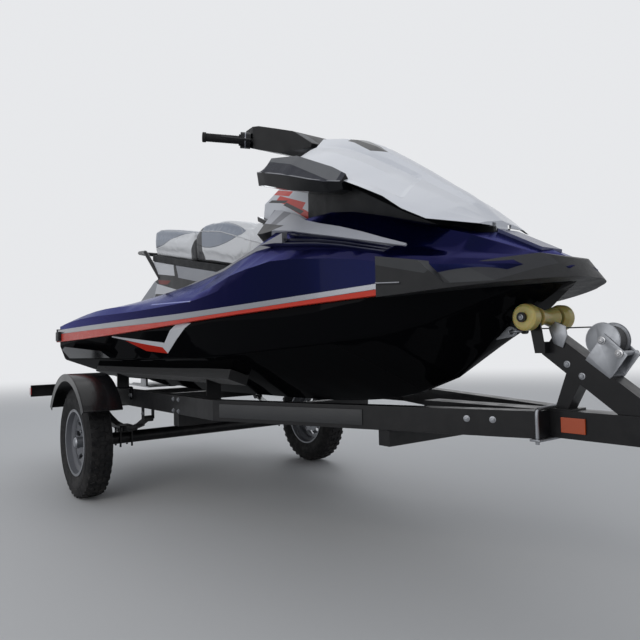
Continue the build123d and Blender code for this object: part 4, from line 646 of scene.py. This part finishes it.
def gloss_paint(name, colour, low, high, coat, specular):
    """Polished gelcoat."""
    material = surface(name, colour, coat=coat, Specular_IOR_Level=specular)
    vary_gloss(material, low, high, 3.0)
    return material


def flake_paint(name, colour, metallic, depth, low, high, coat=0.6, specular=0.4):
    """Metallic paint under clear coat."""
    material = surface(name, colour, metallic=metallic, coat=coat, Specular_IOR_Level=specular)
    tree = material.node_tree
    scale = add(tree, "VectorMath", operation="SCALE", Scale=placed(material, metal_flake, Depth=depth)[0])
    scale.inputs[0].default_value = colour
    tree.links.new(scale.outputs[0], shader_of(material).inputs["Base Color"])
    vary_gloss(material, low, high, 3.0)
    return material


def moulded(name, colour, low=0.45, high=0.6, grain=1400.0, depth=0.0002, specular=0.5):
    """Textured plastic."""
    material = surface(name, colour, Specular_IOR_Level=specular)
    vary_gloss(material, low, high, 20.0)
    raise_grain(material, grain, depth)
    return material


def vinyl(name, colour):
    material = surface(name, colour, Sheen_Weight=0.15)
    vary_gloss(material, 0.36, 0.5, 12.0)
    return material


def metal(name, colour, low, high):
    material = surface(name, colour, metallic=1.0)
    vary_gloss(material, low, high, 60.0)
    return material


def painted_steel(name, colour, low, high, reach, amount, bump_scale=260.0, bump_depth=0.0003):
    """Painted steel with dust on it."""
    material = surface(name, colour, coat=0.1, Specular_IOR_Level=0.25)
    vary_gloss(material, low, high, 18.0)
    dust_over(material, (0.16, 0.15, 0.14), reach, amount)
    tree = material.node_tree
    noise = add(tree, "TexNoise", Scale=bump_scale, Detail=2.0, Vector=object_place(tree))
    raised(material, noise.outputs[0], 0.25, bump_depth)
    return material


def webbing(name, colour, threads):
    material = surface(name, colour, roughness=0.75, Sheen_Weight=0.2)
    raised(material, placed(material, plain_weave, Threads=threads)[0], 0.7, 0.0006)
    return material


def rubber(name, colour, reach, amount):
    material = surface(name, colour)
    vary_gloss(material, 0.6, 0.8, 30.0)
    dust_over(material, (0.13, 0.12, 0.11), reach, amount)
    return material


# White of the hull's stripe and the pedestal's panels, also the colour of the painted highlights on the gunwale
WHITE_PAINT_AND_HIGHLIGHT = (0.62, 0.63, 0.66)
RED = (0.50, 0.030, 0.018)
NEAR_BLACK = (0.012, 0.012, 0.014)
BLUE_GLANCE = (0.20, 0.24, 0.70, 1)     # reflections of the dark paints

FINISHES = (
    (gloss_paint, "hull_gloss", (0.0026, 0.0028, 0.0035), 0.08, 0.16, 0.07, 0.0),
    (flake_paint, "deck_navy", (0.0030, 0.0044, 0.026), 0.75, 0.5, 0.16, 0.24, 0.07, 0.05),
    (moulded, "rail_red", (0.52, 0.035, 0.018), 0.3, 0.42, 900.0, 0.0001),
    (flake_paint, "silver_trim", (0.24, 0.245, 0.265), 0.6, 0.2, 0.28, 0.36, 0.3),
    (moulded, "black_trim", (0.010, 0.011, 0.013)),
    (gloss_paint, "gloss_black", (0.005, 0.0055, 0.007), 0.1, 0.2, 0.15, 0.1),
    (flake_paint, "panel_grey", (0.30, 0.31, 0.35), 0.35, 0.15, 0.3, 0.4, 0.3),
    (flake_paint, "hood_white", (0.62, 0.64, 0.69), 0.1, 0.03, 0.28, 0.32, 0.3),
    (rubber, "mat_rubber", (0.040, 0.042, 0.045), 0.6, 0.15),
    (rubber, "grip_rubber", (0.014, 0.014, 0.015), 0.6, 0.1),
    (moulded, "engine_iron", (0.08, 0.08, 0.085), 0.5, 0.7, 400.0, 0.0004),
    (metal, "pump_alloy", (0.42, 0.43, 0.44), 0.35, 0.5),
    (metal, "steel", (0.42, 0.42, 0.43), 0.24, 0.36),
    (metal, "zinc", (0.30, 0.31, 0.33), 0.32, 0.5),
    (painted_steel, "bar_black", (0.012, 0.012, 0.013), 0.3, 0.45, 0.5, 0.1),
    (painted_steel, "steel_black", (0.012, 0.012, 0.013), 0.3, 0.45, 0.5, 0.15),
    (painted_steel, "frame_black", (0.005, 0.005, 0.006), 0.28, 0.45, 0.55, 0.14),
    (painted_steel, "fender_black", (0.006, 0.006, 0.007), 0.12, 0.25, 0.5, 0.15, 120.0, 0.0014),
    (painted_steel, "rim_grey", (0.15, 0.155, 0.17), 0.3, 0.45, 0.55, 0.25),
    (rubber, "tyre", (0.008, 0.008, 0.009), 0.5, 0.25),
    (webbing, "carpet", (0.009, 0.009, 0.010), 400.0),
    (webbing, "strap_web", (0.014, 0.014, 0.016), 500.0),
    (surface, "lamp_red", (0.30, 0.006, 0.006), 0.0, 1.0, 0.12),
    (surface, "marker_amber", (0.42, 0.06, 0.008), 0.0, 0.6, 0.2),
    (surface, "mirror", (0.85, 0.86, 0.88), 1.0, 0.0, 0.03))

finish = {name: make(name, *values) for make, name, *values in FINISHES}
finish["roller_amber"] = surface("roller_amber", (0.50, 0.42, 0.14), roughness=0.3, Subsurface_Weight=0.4,
                                 Subsurface_Scale=0.02)
for word in ("deck_navy", "hull_gloss"):
    shader_of(finish[word]).inputs["Specular Tint"].default_value = BLUE_GLANCE
for word in ("black_trim", "rail_red", "grip_rubber", "tyre"):
    shader_of(finish[word]).inputs["Specular IOR Level"].default_value = 0.22


# Markings laid over the finishes, and painted highlight lines on the deck's gunwale

paint(finish["hull_gloss"], WHITE_PAINT_AND_HIGHLIGHT, [(1178, 300), (1712, 240), (1757, 262), (1190, 305)],
      [(1708, 242), (1727, 216), (2066, 332), (1939, 332)])
paint(finish["hull_gloss"], RED, [(1330, 280), (1514, 228), (1728, 216), (1712, 243)])
# Two thin pale lines along the gunwale's top edge: painted highlights
paint(finish["deck_navy"], WHITE_PAINT_AND_HIGHLIGHT, stroke((1190, 453), (1250, 452), 2.2, 4),
      stroke((1640, 431), (2062, 415), 2.2, 4))


# Seats: padded covers over the two seat solids, with sewn zones of three colours

SEAT_WHITE = (0.76, 0.77, 0.79)
SEAT_INSERT = (0.27, 0.30, 0.36)
SEAT_BAND = (0.040, 0.042, 0.046)
THREAD_COLOUR = (0.45, 0.46, 0.48)
PIPING_COLOUR = (0.60, 0.61, 0.63)
INSERT_INNER = 0.128         # half-breadth where the side insert gives way to the white top
CURVE_FOOT, CURVE_SPAN = 600, 400       # craft heights that the inserts' border lies between
EDGE_BACK, EDGE_FRONT = (745, 796), (1653, 622)     # station and height of two places on the seats' lower edge
PAD_VOXEL = 0.006
PAD_SHOULDER = 0.038         # width of the rounding along the top
PAD_WAIST, WAIST_REACH = 0.05, 0.09
PAD_CAP = 0.007
STUFFING_PRESSURE = 4
STUFFING_FRAMES = 20


def seat_line(station):
    """Height of the seats' lower edge at a craft station, in millimetres."""
    (back, high), (front, low) = EDGE_BACK, EDGE_FRONT
    return high + (low - high) * (station - back) / (front - back)


def seat_foot(x):
    """Height of the seats' lower edge in the model's frame."""
    return KEEL_Z + seat_line((x - TRANSOM_X) * 1000) / 1000


def seat_finish(name, line, dark):
    """White vinyl with a blue-grey insert above a line on each side, and dark bands."""
    material = vinyl(name, SEAT_WHITE)
    tree = material.node_tree
    axes = object_axes(tree)
    low, high = line[0][0], line[-1][0]
    along = add(tree, "MapRange", From_Min=craft(low, 0, 0).x, From_Max=craft(high, 0, 0).x, Value=axes["X"])
    curve = add(tree, "FloatCurve", Value=along.outputs[0])
    track = curve.mapping.curves[0]
    for index, (station, height) in enumerate(line):
        place = ((station - low) / (high - low), (height - CURVE_FOOT) / CURVE_SPAN)
        if index in (0, len(line) - 1):
            track.points[0 if index == 0 else -1].location = place
        else:
            track.points.new(*place)
    curve.mapping.update()
    height = math_node(tree, "MULTIPLY", curve.outputs[0], CURVE_SPAN / 1000)
    border = math_node(tree, "ADD", height, KEEL_Z + CURVE_FOOT / 1000)
    above = math_node(tree, "SUBTRACT", axes["Z"], border)
    outboard = math_node(tree, "SUBTRACT", math_node(tree, "ABSOLUTE", axes["Y"]), INSERT_INNER)
    edge = math_node(tree, "MINIMUM", above, outboard)
    insert = math_node(tree, "ADD", math_node(tree, "MULTIPLY", edge, 900.0), 0.5, clamp=True)
    lay_over(material, SEAT_INSERT, insert)
    groove = placed(material, sewn_groove, Width=0.0035, Distance=edge, Along=axes["X"])
    lay_over(material, THREAD_COLOUR, groove["Thread"])
    paint(material, SEAT_BAND, *dark)
    raise_grain(material, 700.0, 0.0003, 0.5)
    raised(material, groove["Height"], 0.8, 0.004)
    return material


DARK_STRAP = [(1276, 860), (1351, 860), (1361, 640), (1172, 640)]
rear_vinyl = seat_finish("rear_seat_vinyl", [(690, 838), (738, 836), (905, 834), (1044, 855), (1262, 852)],
                         [DARK_STRAP, [(690, 700), (1040, 700), (1040, 736), (690, 808)]])
front_vinyl = seat_finish("front_seat_vinyl",
                          [(1262, 800), (1308, 775), (1496, 738), (1650, 755), (1758, 797), (1912, 860)],
                          [DARK_STRAP, [(1255, 640), (1425, 600), (1425, 683), (1255, 707)],
                           [(1425, 600), (1700, 560), (1700, 627), (1425, 683)],
                           [(1858, 793), (1960, 700), (1960, 840), (1895, 830)]])


def stuffed(piece):
    """Let the cover swell over its foam by cloth pressure, no point moving further than the cap."""
    rest = [vertex.co.copy() for vertex in piece.data.vertices]
    cloth = piece.modifiers.new("cloth", "CLOTH")
    cloth.settings.quality = 4
    cloth.settings.use_pressure = True
    cloth.settings.uniform_pressure_force = STUFFING_PRESSURE
    cloth.settings.effector_weights.gravity = 0
    for frame_number in range(1, STUFFING_FRAMES + 1):
        bpy.context.scene.frame_set(frame_number)
    activate(piece)
    bpy.ops.object.modifier_apply(modifier=cloth.name)
    for vertex, start in zip(piece.data.vertices, rest):
        moved = vertex.co - start
        if moved.length > PAD_CAP:
            vertex.co = start + moved * (PAD_CAP / moved.length)
    bpy.context.scene.frame_set(1)


def crowned(piece, half, crown):
    """Sink the top towards its sides and pull the sides in towards the seat's foot."""
    for vertex in piece.data.vertices:
        place = vertex.co
        foot = seat_foot(place.x)
        rise = max(place.z - foot, 0)
        share = min(abs(place.y) / half, 1)
        place.z = foot + rise * (1 - crown * share ** 2.5)
        place.y *= 1 - PAD_WAIST * (1 - min(rise / WAIST_REACH, 1)) ** 2


def on_shoulder(middle, along):
    return abs(along.y) < 0.6 and abs(middle.y) > 0.09 and middle.z > seat_foot(middle.x) + 0.03


def padded_seat(node, name, half, crown):
    piece = merged_copy(node, name)
    edit(piece)
    choose_edges(piece, on_shoulder)
    bpy.ops.mesh.bevel(offset=PAD_SHOULDER, segments=5, profile=0.55, affect="EDGES", clamp_overlap=True)
    bpy.ops.mesh.select_all(action="SELECT")
    bpy.ops.mesh.normals_make_consistent(inside=False)
    bpy.ops.transform.shrink_fatten(value=-0.002)
    stop_editing()
    modified(piece, "REMESH", mode="VOXEL", voxel_size=PAD_VOXEL)
    crowned(piece, half, crown)
    modified(piece, "SMOOTH", factor=0.6, iterations=6)
    stuffed(piece)
    modified(piece, "SUBSURF", levels=1, render_levels=1)
    smooth(piece, ROUND_ANGLE)
    return piece


seat_rear_pad = padded_seat("seat_rear", "seat_rear_pad", 0.186, 0.05)
dress(seat_rear_pad, rear_vinyl, "craft_and_trailer", "seat_vinyl", "seat_rear")
seat_front_pad = padded_seat("seat_front", "seat_front_pad", 0.166, 0.04)
dress(seat_front_pad, front_vinyl, "craft_and_trailer", "seat_vinyl", "seat_front")

PIPING_RISE = 30             # millimetres above the seats' lower edge, on the centre plane
PIPING_SLOPE = math.radians(38)
PIPING_STEPS = 26
piping = vinyl("piping", PIPING_COLOUR)
raise_grain(piping, 700.0, 0.00035)


def piping_places(pad, first, last):
    """Places on a pad's port side where sloping lines from the centre plane leave it."""
    tree = BVHTree.FromPolygons([v.co for v in pad.data.vertices], [f.vertices for f in pad.data.polygons])
    ray = Vector((0, math.cos(PIPING_SLOPE), math.sin(PIPING_SLOPE)))
    places = []
    for i in range(PIPING_STEPS + 1):
        station = first + (last - first) * i / PIPING_STEPS
        hit = tree.ray_cast(craft(station, 0, seat_line(station) + PIPING_RISE) + ray * 0.4, -ray)
        if hit[0]:
            places.append(hit[0] + ray * 0.0008)
    return places


for pad, name, first, last in ((seat_rear_pad, "rear_piping", 705, 1245),
                               (seat_front_pad, "front_piping", 1290, 1885)):
    cordlet = to_both_sides(bent_bar(name, piping_places(pad, first, last), 0.0028))
    dress(cordlet, piping, "craft_and_trailer", "seat_vinyl")


# Every other node gets eased edges and its finish

dressed_nodes = {node: dressed(node) for node in nodes if node not in ("seat_rear", "seat_front")}


# Hood: black inside and at its rear edge, a dark inlay across the hump
paint(finish["hood_white"], NEAR_BLACK, [(2405, 60), (2548, 72), (2614, 42), (2470, 4)], plan=True)
second_finish(dressed_nodes["hood"], finish["black_trim"],
              lambda centre, normal: normal.z < -0.05 or normal.x < -0.7)

# Mirror housings: navy-grey above the crest, black below, and a thin light bar along the crest that stands for a
# painted highlight
mirror_top = moulded("mirror_top", (0.013, 0.015, 0.026), 0.35, 0.45, specular=0.2)
paint(mirror_top, (0.12, 0.125, 0.135), [(2250, 946), (2400, 898), (2400, 980), (2250, 990)],
      [(2400, 898), (2652, 772), (2652, 860), (2400, 980)])
second_finish(dressed_nodes["mirror_shells"], mirror_top,
              lambda centre, normal: normal.z > 0.25 and normal.x > -0.75)
# The bar along the crest is a painted highlight, made as a silver bar
crest = ((2200, 350, 913), (2254, 357, 899), (2411, 357, 852), (2604, 344, 784), (2668, 322, 775))
crest_highlight_bar = to_both_sides(bent_bar("mirror_crest_highlight", [craft(*place) for place in crest], 0.0022))
dress_as(crest_highlight_bar, "silver_trim", "hood_lid")

# Console: strokes of colour on its sides
console_paint = flake_paint("console_paint", (0.50, 0.52, 0.56), 0.15, 0.06, 0.24, 0.34, 0.4)
for colour, first, last, thick in ((RED, (2012, 902), (2150, 866), 8), (RED, (2050, 866), (2246, 796), 11),
                                   (RED, (2160, 812), (2300, 738), 9), (NEAR_BLACK, (1990, 866), (2120, 838), 3.5),
                                   (NEAR_BLACK, (2108, 832), (2236, 770), 3.5)):
    paint(console_paint, colour, stroke(first, last, thick, 12))
redress("console", console_paint)

# Side panels: grey bars near their rear end
panel_paint = flake_paint("side_panel_paint", (0.40, 0.41, 0.45), 0.1, 0.15, 0.32, 0.4, 0.05, 0.1)
paint(panel_paint, (0.17, 0.175, 0.20), [(2077, 823), (2126, 805), (2101, 740), (2050, 760)],
      [(2207, 773), (2271, 753), (2246, 690), (2188, 712)])
paint(panel_paint, NEAR_BLACK, [(2030, 756), (2325, 687), (2200, 640), (2030, 640)])
redress("side_fairings", panel_paint)

# Strakes in the channel below them
redress("side_vents", flake_paint("strake_gloss", (0.010, 0.013, 0.040), 0.5, 0.3, 0.1, 0.18, 1.0))

# Pedestal: dark, with pale panels under the seats
pedestal_paint = surface("pedestal_paint", (0.012, 0.0125, 0.014), coat=0.05, Specular_IOR_Level=0.25)
vary_gloss(pedestal_paint, 0.35, 0.5, 10.0)
paint(pedestal_paint, WHITE_PAINT_AND_HIGHLIGHT, [(740, 770), (1030, 710), (1046, 640), (700, 690)])
paint(pedestal_paint, (0.30, 0.31, 0.34), [(1062, 698), (1600, 596), (1328, 581), (1096, 625)],
      [(760, 640), (540, 520), (770, 500), (838, 606)])
paint(pedestal_paint, WHITE_PAINT_AND_HIGHLIGHT, [(806, 618), (1144, 548), (1127, 528), (790, 560)])
paint(pedestal_paint, (0.16, 0.012, 0.010), [(812, 640), (1000, 618), (960, 600), (840, 612)])
redress("pedestal", pedestal_paint)

# Black moulding where the console meets the seat's nose and the side panel
seam = [(1944, 805), (2077, 744), (2141, 714), (2131, 693), (2044, 659), (1942, 619), (1720, 598), (1720, 622),
        (1932, 639), (1996, 682), (2065, 703), (2076, 715), (2028, 747), (1948, 782)]
seam_moulding = plate("seam_moulding", [craft(x, 0, z) for x, z in seam], 0.150, 0.198, "Y", 0.003)
dress_as(to_both_sides(seam_moulding), "gloss_black")

# Bumper: near-black, the recessed top panel its own grey, painted sky light on the sloped facets ahead of it, and a
# bright line at each rear end
bumper_paint = moulded("bumper_paint", (0.009, 0.0095, 0.011), 0.42, 0.55, specular=0.3)
# The patch from station 2890 to 3100 is the recessed panel's own grey; the patches further forward are painted light
# on the sloped facets
paint(bumper_paint, (0.034, 0.036, 0.039), [(3062, 440), (3119, 394), (3207, 397), (3125, 446)],
      [(2890, 470), (3062, 425), (3100, 460), (2890, 500)])
paint(bumper_paint, (0.024, 0.025, 0.029), [(3125, 446), (3207, 397), (3300, 440), (3262, 480)])
redress("bumpers", bumper_paint)
bumper_line = bent_bar("bumper_line", [craft(2934, 424, 407), craft(2972, 410, 405), craft(3002, 397, 404)], 0.0022)
dress_as(to_both_sides(bumper_line), "silver_trim")

# Ridge on the nose: a paler blue than the deck, a painted reflection of the sky on the ridge
ridge_reflection_blue = flake_paint("ridge_reflection_blue", (0.060, 0.066, 0.140), 0.4, 0.4, 0.2, 0.3, 0.1, 0.2)
second_finish(dressed_nodes["deck_trim"], ridge_reflection_blue, lambda centre, normal: centre.x > 0.9)

# Black end caps at the rails' rear ends
cap_outline = [craft(x, y, 0) for x, y in ((150, 560), (150, 592), (236, 598), (236, 566))]
dress_as(to_both_sides(plate("stern_cap", cap_outline, 0.775, 0.832, "Z", 0.004)), "black_trim")

# Grips: moulded ribs round each
BAR_INNER, BAR_OUTER = 232, 412         # half-breadths of the port bar's ends, in millimetres
bar_start, bar_end = craft(1980, BAR_INNER, 1122), craft(1872, BAR_OUTER, 1136)
bar_along = (bar_end - bar_start).normalized()


def on_bar(half):
    """Place on the port bar's axis at a half-breadth in millimetres."""
    return bar_start + (bar_end - bar_start) * ((half - BAR_INNER) / (BAR_OUTER - BAR_INNER))


ribs = [ring("grip_rib", on_bar(half), bar_along, 0.0168, 0.0016) for half in range(292, 402, 6)]
dress_as(to_both_sides(joined("grip_ribs", ribs)), "grip_rubber", "steering")

# Switches on the housings inboard of the grips
HOUSING_RADIUS = 0.031
TO_RIDER = Vector((-0.78, 0, 0.62))
UPWARD = Vector((-0.35, 0, 0.93))
collar = on_bar(261)
button_places = [on_bar(half) + TO_RIDER * HOUSING_RADIUS for half in (254, 268)]
buttons = [round_bar("switch_button", place, place + TO_RIDER * 0.007, 0.0058, 20, 0.0015) for place in button_places]
buttons.append(round_bar("switch_collar", collar - bar_along * 0.002, collar + bar_along * 0.002, 0.0352, 32))
dress_as(to_both_sides(joined("switches", buttons)), "panel_grey", "steering")
stop_place = collar + UPWARD * HOUSING_RADIUS
dress_as(round_bar("stop_switch", stop_place, stop_place + UPWARD * 0.009, 0.0075, 24, 0.002), "lamp_red", "steering")

# Smoked panels on the front of the bars' cover
cover_black = surface("bar_cover", (0.009, 0.0095, 0.011), Specular_IOR_Level=0.22)
vary_gloss(cover_black, 0.32, 0.45, 20.0)
raise_grain(cover_black, 1400.0, 0.00015)
paint(cover_black, (0.085, 0.09, 0.10), [(2106, 112), (2128, 52), (2186, 30), (2176, 70)], plan=True)
redress("controls", cover_black)

# Instrument screen, bare, in a bezel on the gauge's tilted face
screen_low, screen_high = craft(2177, 0, 1013), craft(2207, 0, 1036)
screen_along = (screen_high - screen_low).normalized()
screen_length = (screen_high - screen_low).length
for name, grow, lift, half, slot in (("gauge_bezel", 0.002, 0.002, 0.080, "silver_trim"),
                                     ("gauge_screen", -0.002, 0.0032, 0.074, "gloss_black")):
    dress_as(strip(name, screen_low, screen_along, Vector((-0.614, 0, 0.789)), (-grow, screen_length + grow),
                   (-0.001, lift), half, 0.0008), slot)

# Glove lid: a raised panel and its pull
lid_along = Vector((160, 0, 88)).normalized()
lid_out = Vector((-lid_along.z, 0, lid_along.x))
for name, span, rise, half, slot in (("glove_lid_panel", (0.018, 0.138), (0.006, 0.0088), 0.082, "gloss_black"),
                                     ("glove_lid_pull", (0.006, 0.016), (0.006, 0.014), 0.030, "zinc")):
    dress_as(strip(name, craft(1950, 0, 862), lid_along, lid_out, span, rise, half, 0.0012), slot, "glove_cover")

# Mats: rows of raised pips
mat_tree = finish["mat_rubber"].node_tree
mat_axes = object_axes(mat_tree)
pips = [math_node(mat_tree, "SINE", math_node(mat_tree, "MULTIPLY", mat_axes[axis], 330.0)) for axis in ("X", "Y")]
raised(finish["mat_rubber"], math_node(mat_tree, "MULTIPLY", *pips), 0.9, 0.0015)


# Trailer bolts on both sides

NEAR, FAR = Vector((0, -1, 0)), Vector((0, 1, 0))
RAIL_BACK, RAIL_FRONT = (1030, 500), (2114, 63)     # trailer station and half-breadth of a slanting rail's ends
RAIL_HALF_WIDTH = 25
RAIL_LEAN = math.atan2(RAIL_BACK[1] - RAIL_FRONT[1], RAIL_FRONT[0] - RAIL_BACK[0])
BOLT_ROWS = ((30, (2168,), (643,)), (30, (2210,), (611,)),          # half-breadth, stations, heights
             (525, (-455, -405, 675, 725), (452, 500)), (525, (-905, -855), (500,)),
             (531, (-200, -180, 180, 200), (492,)), (525, (-328, 328), (413,)), (43, (2955, 3010), (460, 500)))


def rail_side(station):
    """Half-breadth of a slanting rail's outer face at a trailer station, in millimetres."""
    return RAIL_BACK[1] + RAIL_HALF_WIDTH / math.cos(RAIL_LEAN) - (station - RAIL_BACK[0]) * math.tan(RAIL_LEAN)


def rail_facing(side):
    return Vector((math.sin(RAIL_LEAN), side * math.cos(RAIL_LEAN), 0))


places = []
for side in (-1, 1):
    for half, stations, heights in BOLT_ROWS:
        places += [(trailer(x, side * half, z), (0, side, 0)) for x in stations for z in heights]
    places += [(trailer(x, side * rail_side(x), 487), rail_facing(side)) for x in (1926, 1996)]
bolts("trailer_bolts", 0.0055, places, "zinc")
bolts("roller_bolts", 0.0045, [(trailer(2085, side * 115, 776), (0, side, 0)) for side in (-1, 1)], "zinc")

# Clamp round tongue and rails under the winch post
CLAMP_STATION = 2110
loop = [(-95, 424), (-95, 470), (-95, 512), (-89, 521), (0, 524), (89, 521), (95, 512), (95, 470), (95, 424)]
clamp_bar = bent_bar("clamp_bar", [trailer(CLAMP_STATION, y, z) for y, z in loop], 0.0055)
foot = [trailer(CLAMP_STATION + x, y, 0) for x, y in ((-16, -109), (16, -109), (16, 109), (-16, 109))]
dress_as(joined("post_clamps", [clamp_bar, plate("clamp_plate", foot, 0.433, 0.439, "Z")]), "zinc")

# Zinc bracket at the head of the winch post
bracket = ((2118, 745), (2140, 762), (2170, 748), (2174, 722), (2160, 688), (2132, 700))
dress_as(plate("post_bracket", [trailer(x, 0, z) for x, z in bracket], -0.0345, -0.0305), "zinc")

# Winch: nuts on its bosses and ratchet, turns of strap on the drum, the drum's rims and the handle's sleeve
DRUM = trailer(2270, 0, 706)
bolts("winch_nuts", 0.0062, [(DRUM + NEAR * 0.035, NEAR), (DRUM + FAR * 0.035, FAR),
                             (trailer(2316, -38, 672), NEAR)], "steel")
for name, across, radius, thickness, sides, slot in (("strap_turns", 0.0235, 0.0375, 0.0012, 40, "strap_web"),
                                                     ("drum_rims", 0.0275, 0.0458, 0.0018, 48, "zinc")):
    rings = [ring(name, DRUM + facing * across, FAR, radius, thickness, sides) for facing in (NEAR, FAR)]
    dress_as(joined(name, rings), slot)
dress_as(round_bar("crank_sleeve", trailer(2462, 62, 704), trailer(2462, 148, 704), 0.0145, 24, 0.003), "grip_rubber")

# Plain plate on each slanting rail
plate_grey = moulded("plate_grey", (0.020, 0.021, 0.023), 0.4, 0.5)
for side in (-1, 1):
    first, last = [trailer(x, side * rail_side(x), 0) for x in (1062, 1610)]
    thick = rail_facing(side) * 0.0025
    outline = [first, last, last + thick, first + thick]
    dress(plate("bare_plate", outline, 0.452, 0.502, "Z", 0.0012), plate_grey, ROOT, "frame_black")

# Rolled edges of the fenders
FENDER_START, FENDER_TURN = 31, 121         # degrees from straight ahead
ARC_STEPS = 24


def fender_place(degrees, half, radius):
    turn = math.radians(degrees)
    return trailer(radius * math.cos(turn), half, AXLE_HEIGHT * 1000 + radius * math.sin(turn))


edges = [bent_bar("fender_edge", [fender_place(end, half, 332.5) for half in (604, 690, 779)], 0.004)
         for end in (FENDER_START, FENDER_START + FENDER_TURN)]
arc = [fender_place(FENDER_START + i * FENDER_TURN / ARC_STEPS, 779.5, 332) for i in range(ARC_STEPS + 1)]
edges.append(bent_bar("fender_edge", arc, 0.003))
dress_as(to_both_sides(joined("fender_edges", edges)), "fender_black")

# Tyres: crown let in a little and blocks of tread standing on it
CROWN_START = 0.258          # radius beyond which the tyre is let in
TREAD_DEPTH = 0.005
TREAD_ROOT = 0.002           # how far a block reaches into the crown
TREAD_ROWS = 40
TREAD_BANDS = ((0, 0.020, 0.022, 0, 0), (-0.024, 0.019, 0.030, 24, 0), (0.024, 0.019, 0.030, -24, 0),
               (-0.043, 0.013, 0.020, 0, 0.0035), (0.043, 0.013, 0.020, 0, 0.0035))


def tread_block(long, wide, slant):
    """One block facing +Z from the origin, its top face a little smaller."""
    deep = TREAD_DEPTH + TREAD_ROOT
    block = primitive("tread_block", bpy.ops.mesh.primitive_cube_add, size=1, scale=(long, wide, deep),
                      location=(0, 0, deep / 2), rotation=(0, 0, math.radians(slant)))
    edit(block)
    choose_faces(block, lambda normal: normal.z > 0.9)
    bpy.ops.transform.resize(value=(0.86, 0.92, 1))
    stop_editing()
    return block


def tread(middle, name):
    """Blocks in bands round the crown: distance across, width, length, slant and drop of each band."""
    blocks = []
    for index, (across, wide, long, slant, drop) in enumerate(TREAD_BANDS):
        places = []
        for i in range(TREAD_ROWS):
            turn = 2 * math.pi * (i + 0.5 * (index % 2)) / TREAD_ROWS
            out = Vector((math.cos(turn), 0, math.sin(turn)))
            foot = middle + FAR * across + out * (AXLE_HEIGHT - TREAD_DEPTH - TREAD_ROOT - drop)
            turned = Matrix((Vector((out.z, 0, -out.x)), FAR, out)).transposed()
            places.append(Matrix.Translation(foot) @ turned.to_4x4())
        blocks += copies_of(tread_block(long, wide, slant), name, places)
    piece = joined(name, blocks)
    edit(piece)
    bpy.ops.mesh.normals_make_consistent(inside=False)
    stop_editing()
    return piece


def bare_metal(centre, normal):
    """Whether a face of the rim is the hub's or one of the bolts'."""
    radius = math.hypot(centre.x - AXLE_X, centre.z - AXLE_HEIGHT)
    return radius < 0.041 or abs(radius - 0.057) < 0.0095 and abs(centre.y) > 0.6945


for side, word in ((1, "left"), (-1, "right")):
    middle = Vector((AXLE_X, side * WHEEL_HALF, AXLE_HEIGHT))
    for vertex in dressed_nodes["tyre_" + word].data.vertices:
        off = vertex.co - middle
        off.y = 0
        if off.length > CROWN_START:
            vertex.co -= off.normalized() * TREAD_DEPTH
    dress_as(tread(middle, "tread_" + word), "tyre", "wheel_" + word)
    walls = [ring("wall_ring", middle + FAR * across, FAR, radius, 0.0016, 72)
             for across in (-0.0595, 0.0595) for radius in (0.212, 0.222)]
    dress_as(joined("wall_rings_" + word, walls), "tyre", "wheel_" + word)
    second_finish(dressed_nodes["rim_" + word], finish["zinc"], bare_metal)


# Studio

BACKGROUND = (0.80, 0.81, 0.83, 1)
FLOOR_COLOUR = (0.62, 0.62, 0.62)
FLOOR_RADIUS = 60
FLOOR_SEEN, FLOOR_GONE = 3.5, 16.0      # the floor fades into the background between these distances


def mixed(tree, share, first, last, surface_socket):
    mix = calculated(tree, add(tree, "MixShader"), (share, first.outputs[0], last.outputs[0]))
    feed(tree, mix[0], surface_socket)


def studio_floor():
    floor = primitive("studio_floor", bpy.ops.mesh.primitive_circle_add, vertices=96, radius=FLOOR_RADIUS,
                      fill_type="NGON", location=(0, 0, -0.0005))
    material = surface("studio_floor", FLOOR_COLOUR, roughness=0.7)
    tree = material.node_tree
    far = add(tree, "Emission", Color=BACKGROUND, Strength=1.0)
    fade = add(tree, "MapRange", interpolation_type="SMOOTHERSTEP", From_Min=FLOOR_SEEN, From_Max=FLOOR_GONE,
               Value=vector_node(tree, "LENGTH", object_place(tree)))
    mixed(tree, fade.outputs[0], shader_of(material), far, tree.nodes["Material Output"].inputs["Surface"])
    floor.data.materials.append(material)


def studio_world():
    world = bpy.data.worlds.new("studio")
    bpy.context.scene.world = world
    world.use_nodes = True
    tree = world.node_tree
    light = tree.nodes["Background"]
    light.inputs["Color"].default_value = (0.72, 0.76, 0.82, 1)
    light.inputs["Strength"].default_value = 0.55
    seen = add(tree, "Background", Color=BACKGROUND, Strength=1.0)
    path = add(tree, "LightPath").outputs
    direct = math_node(tree, "MAXIMUM", path["Is Camera Ray"], path["Is Glossy Ray"])
    direct = math_node(tree, "MAXIMUM", direct, path["Is Transmission Ray"])
    mixed(tree, direct, light, seen, tree.nodes["World Output"].inputs["Surface"])


def softbox(name, place, aim, width, depth, power, colour=(1, 1, 1)):
    data = bpy.data.lights.new(name, "AREA")
    data.shape = "RECTANGLE"
    data.size = width
    data.size_y = depth
    data.energy = power
    data.color = colour
    lamp = new_object(name, data)
    lamp.location = place
    lamp.rotation_mode = "QUATERNION"
    lamp.rotation_quaternion = (Vector(aim) - Vector(place)).to_track_quat("-Z", "Y")


studio_floor()
studio_world()
softbox("key", (3.2, -4.6, 4.6), (-0.4, 0, 0.9), 3.2, 2.2, 58, (1.0, 0.98, 0.95))
softbox("fill", (0.6, -5.6, 1.7), (-0.5, 0, 0.8), 4.0, 2.2, 40)
softbox("overhead", (-1.2, 1.0, 5.2), (-0.6, 0, 0.8), 5.0, 3.0, 24)
softbox("rim", (-4.6, 3.4, 3.2), (-0.6, 0, 1.0), 2.4, 2.0, 28, (0.92, 0.96, 1.0))

bpy.context.scene.view_settings.view_transform = "Standard"
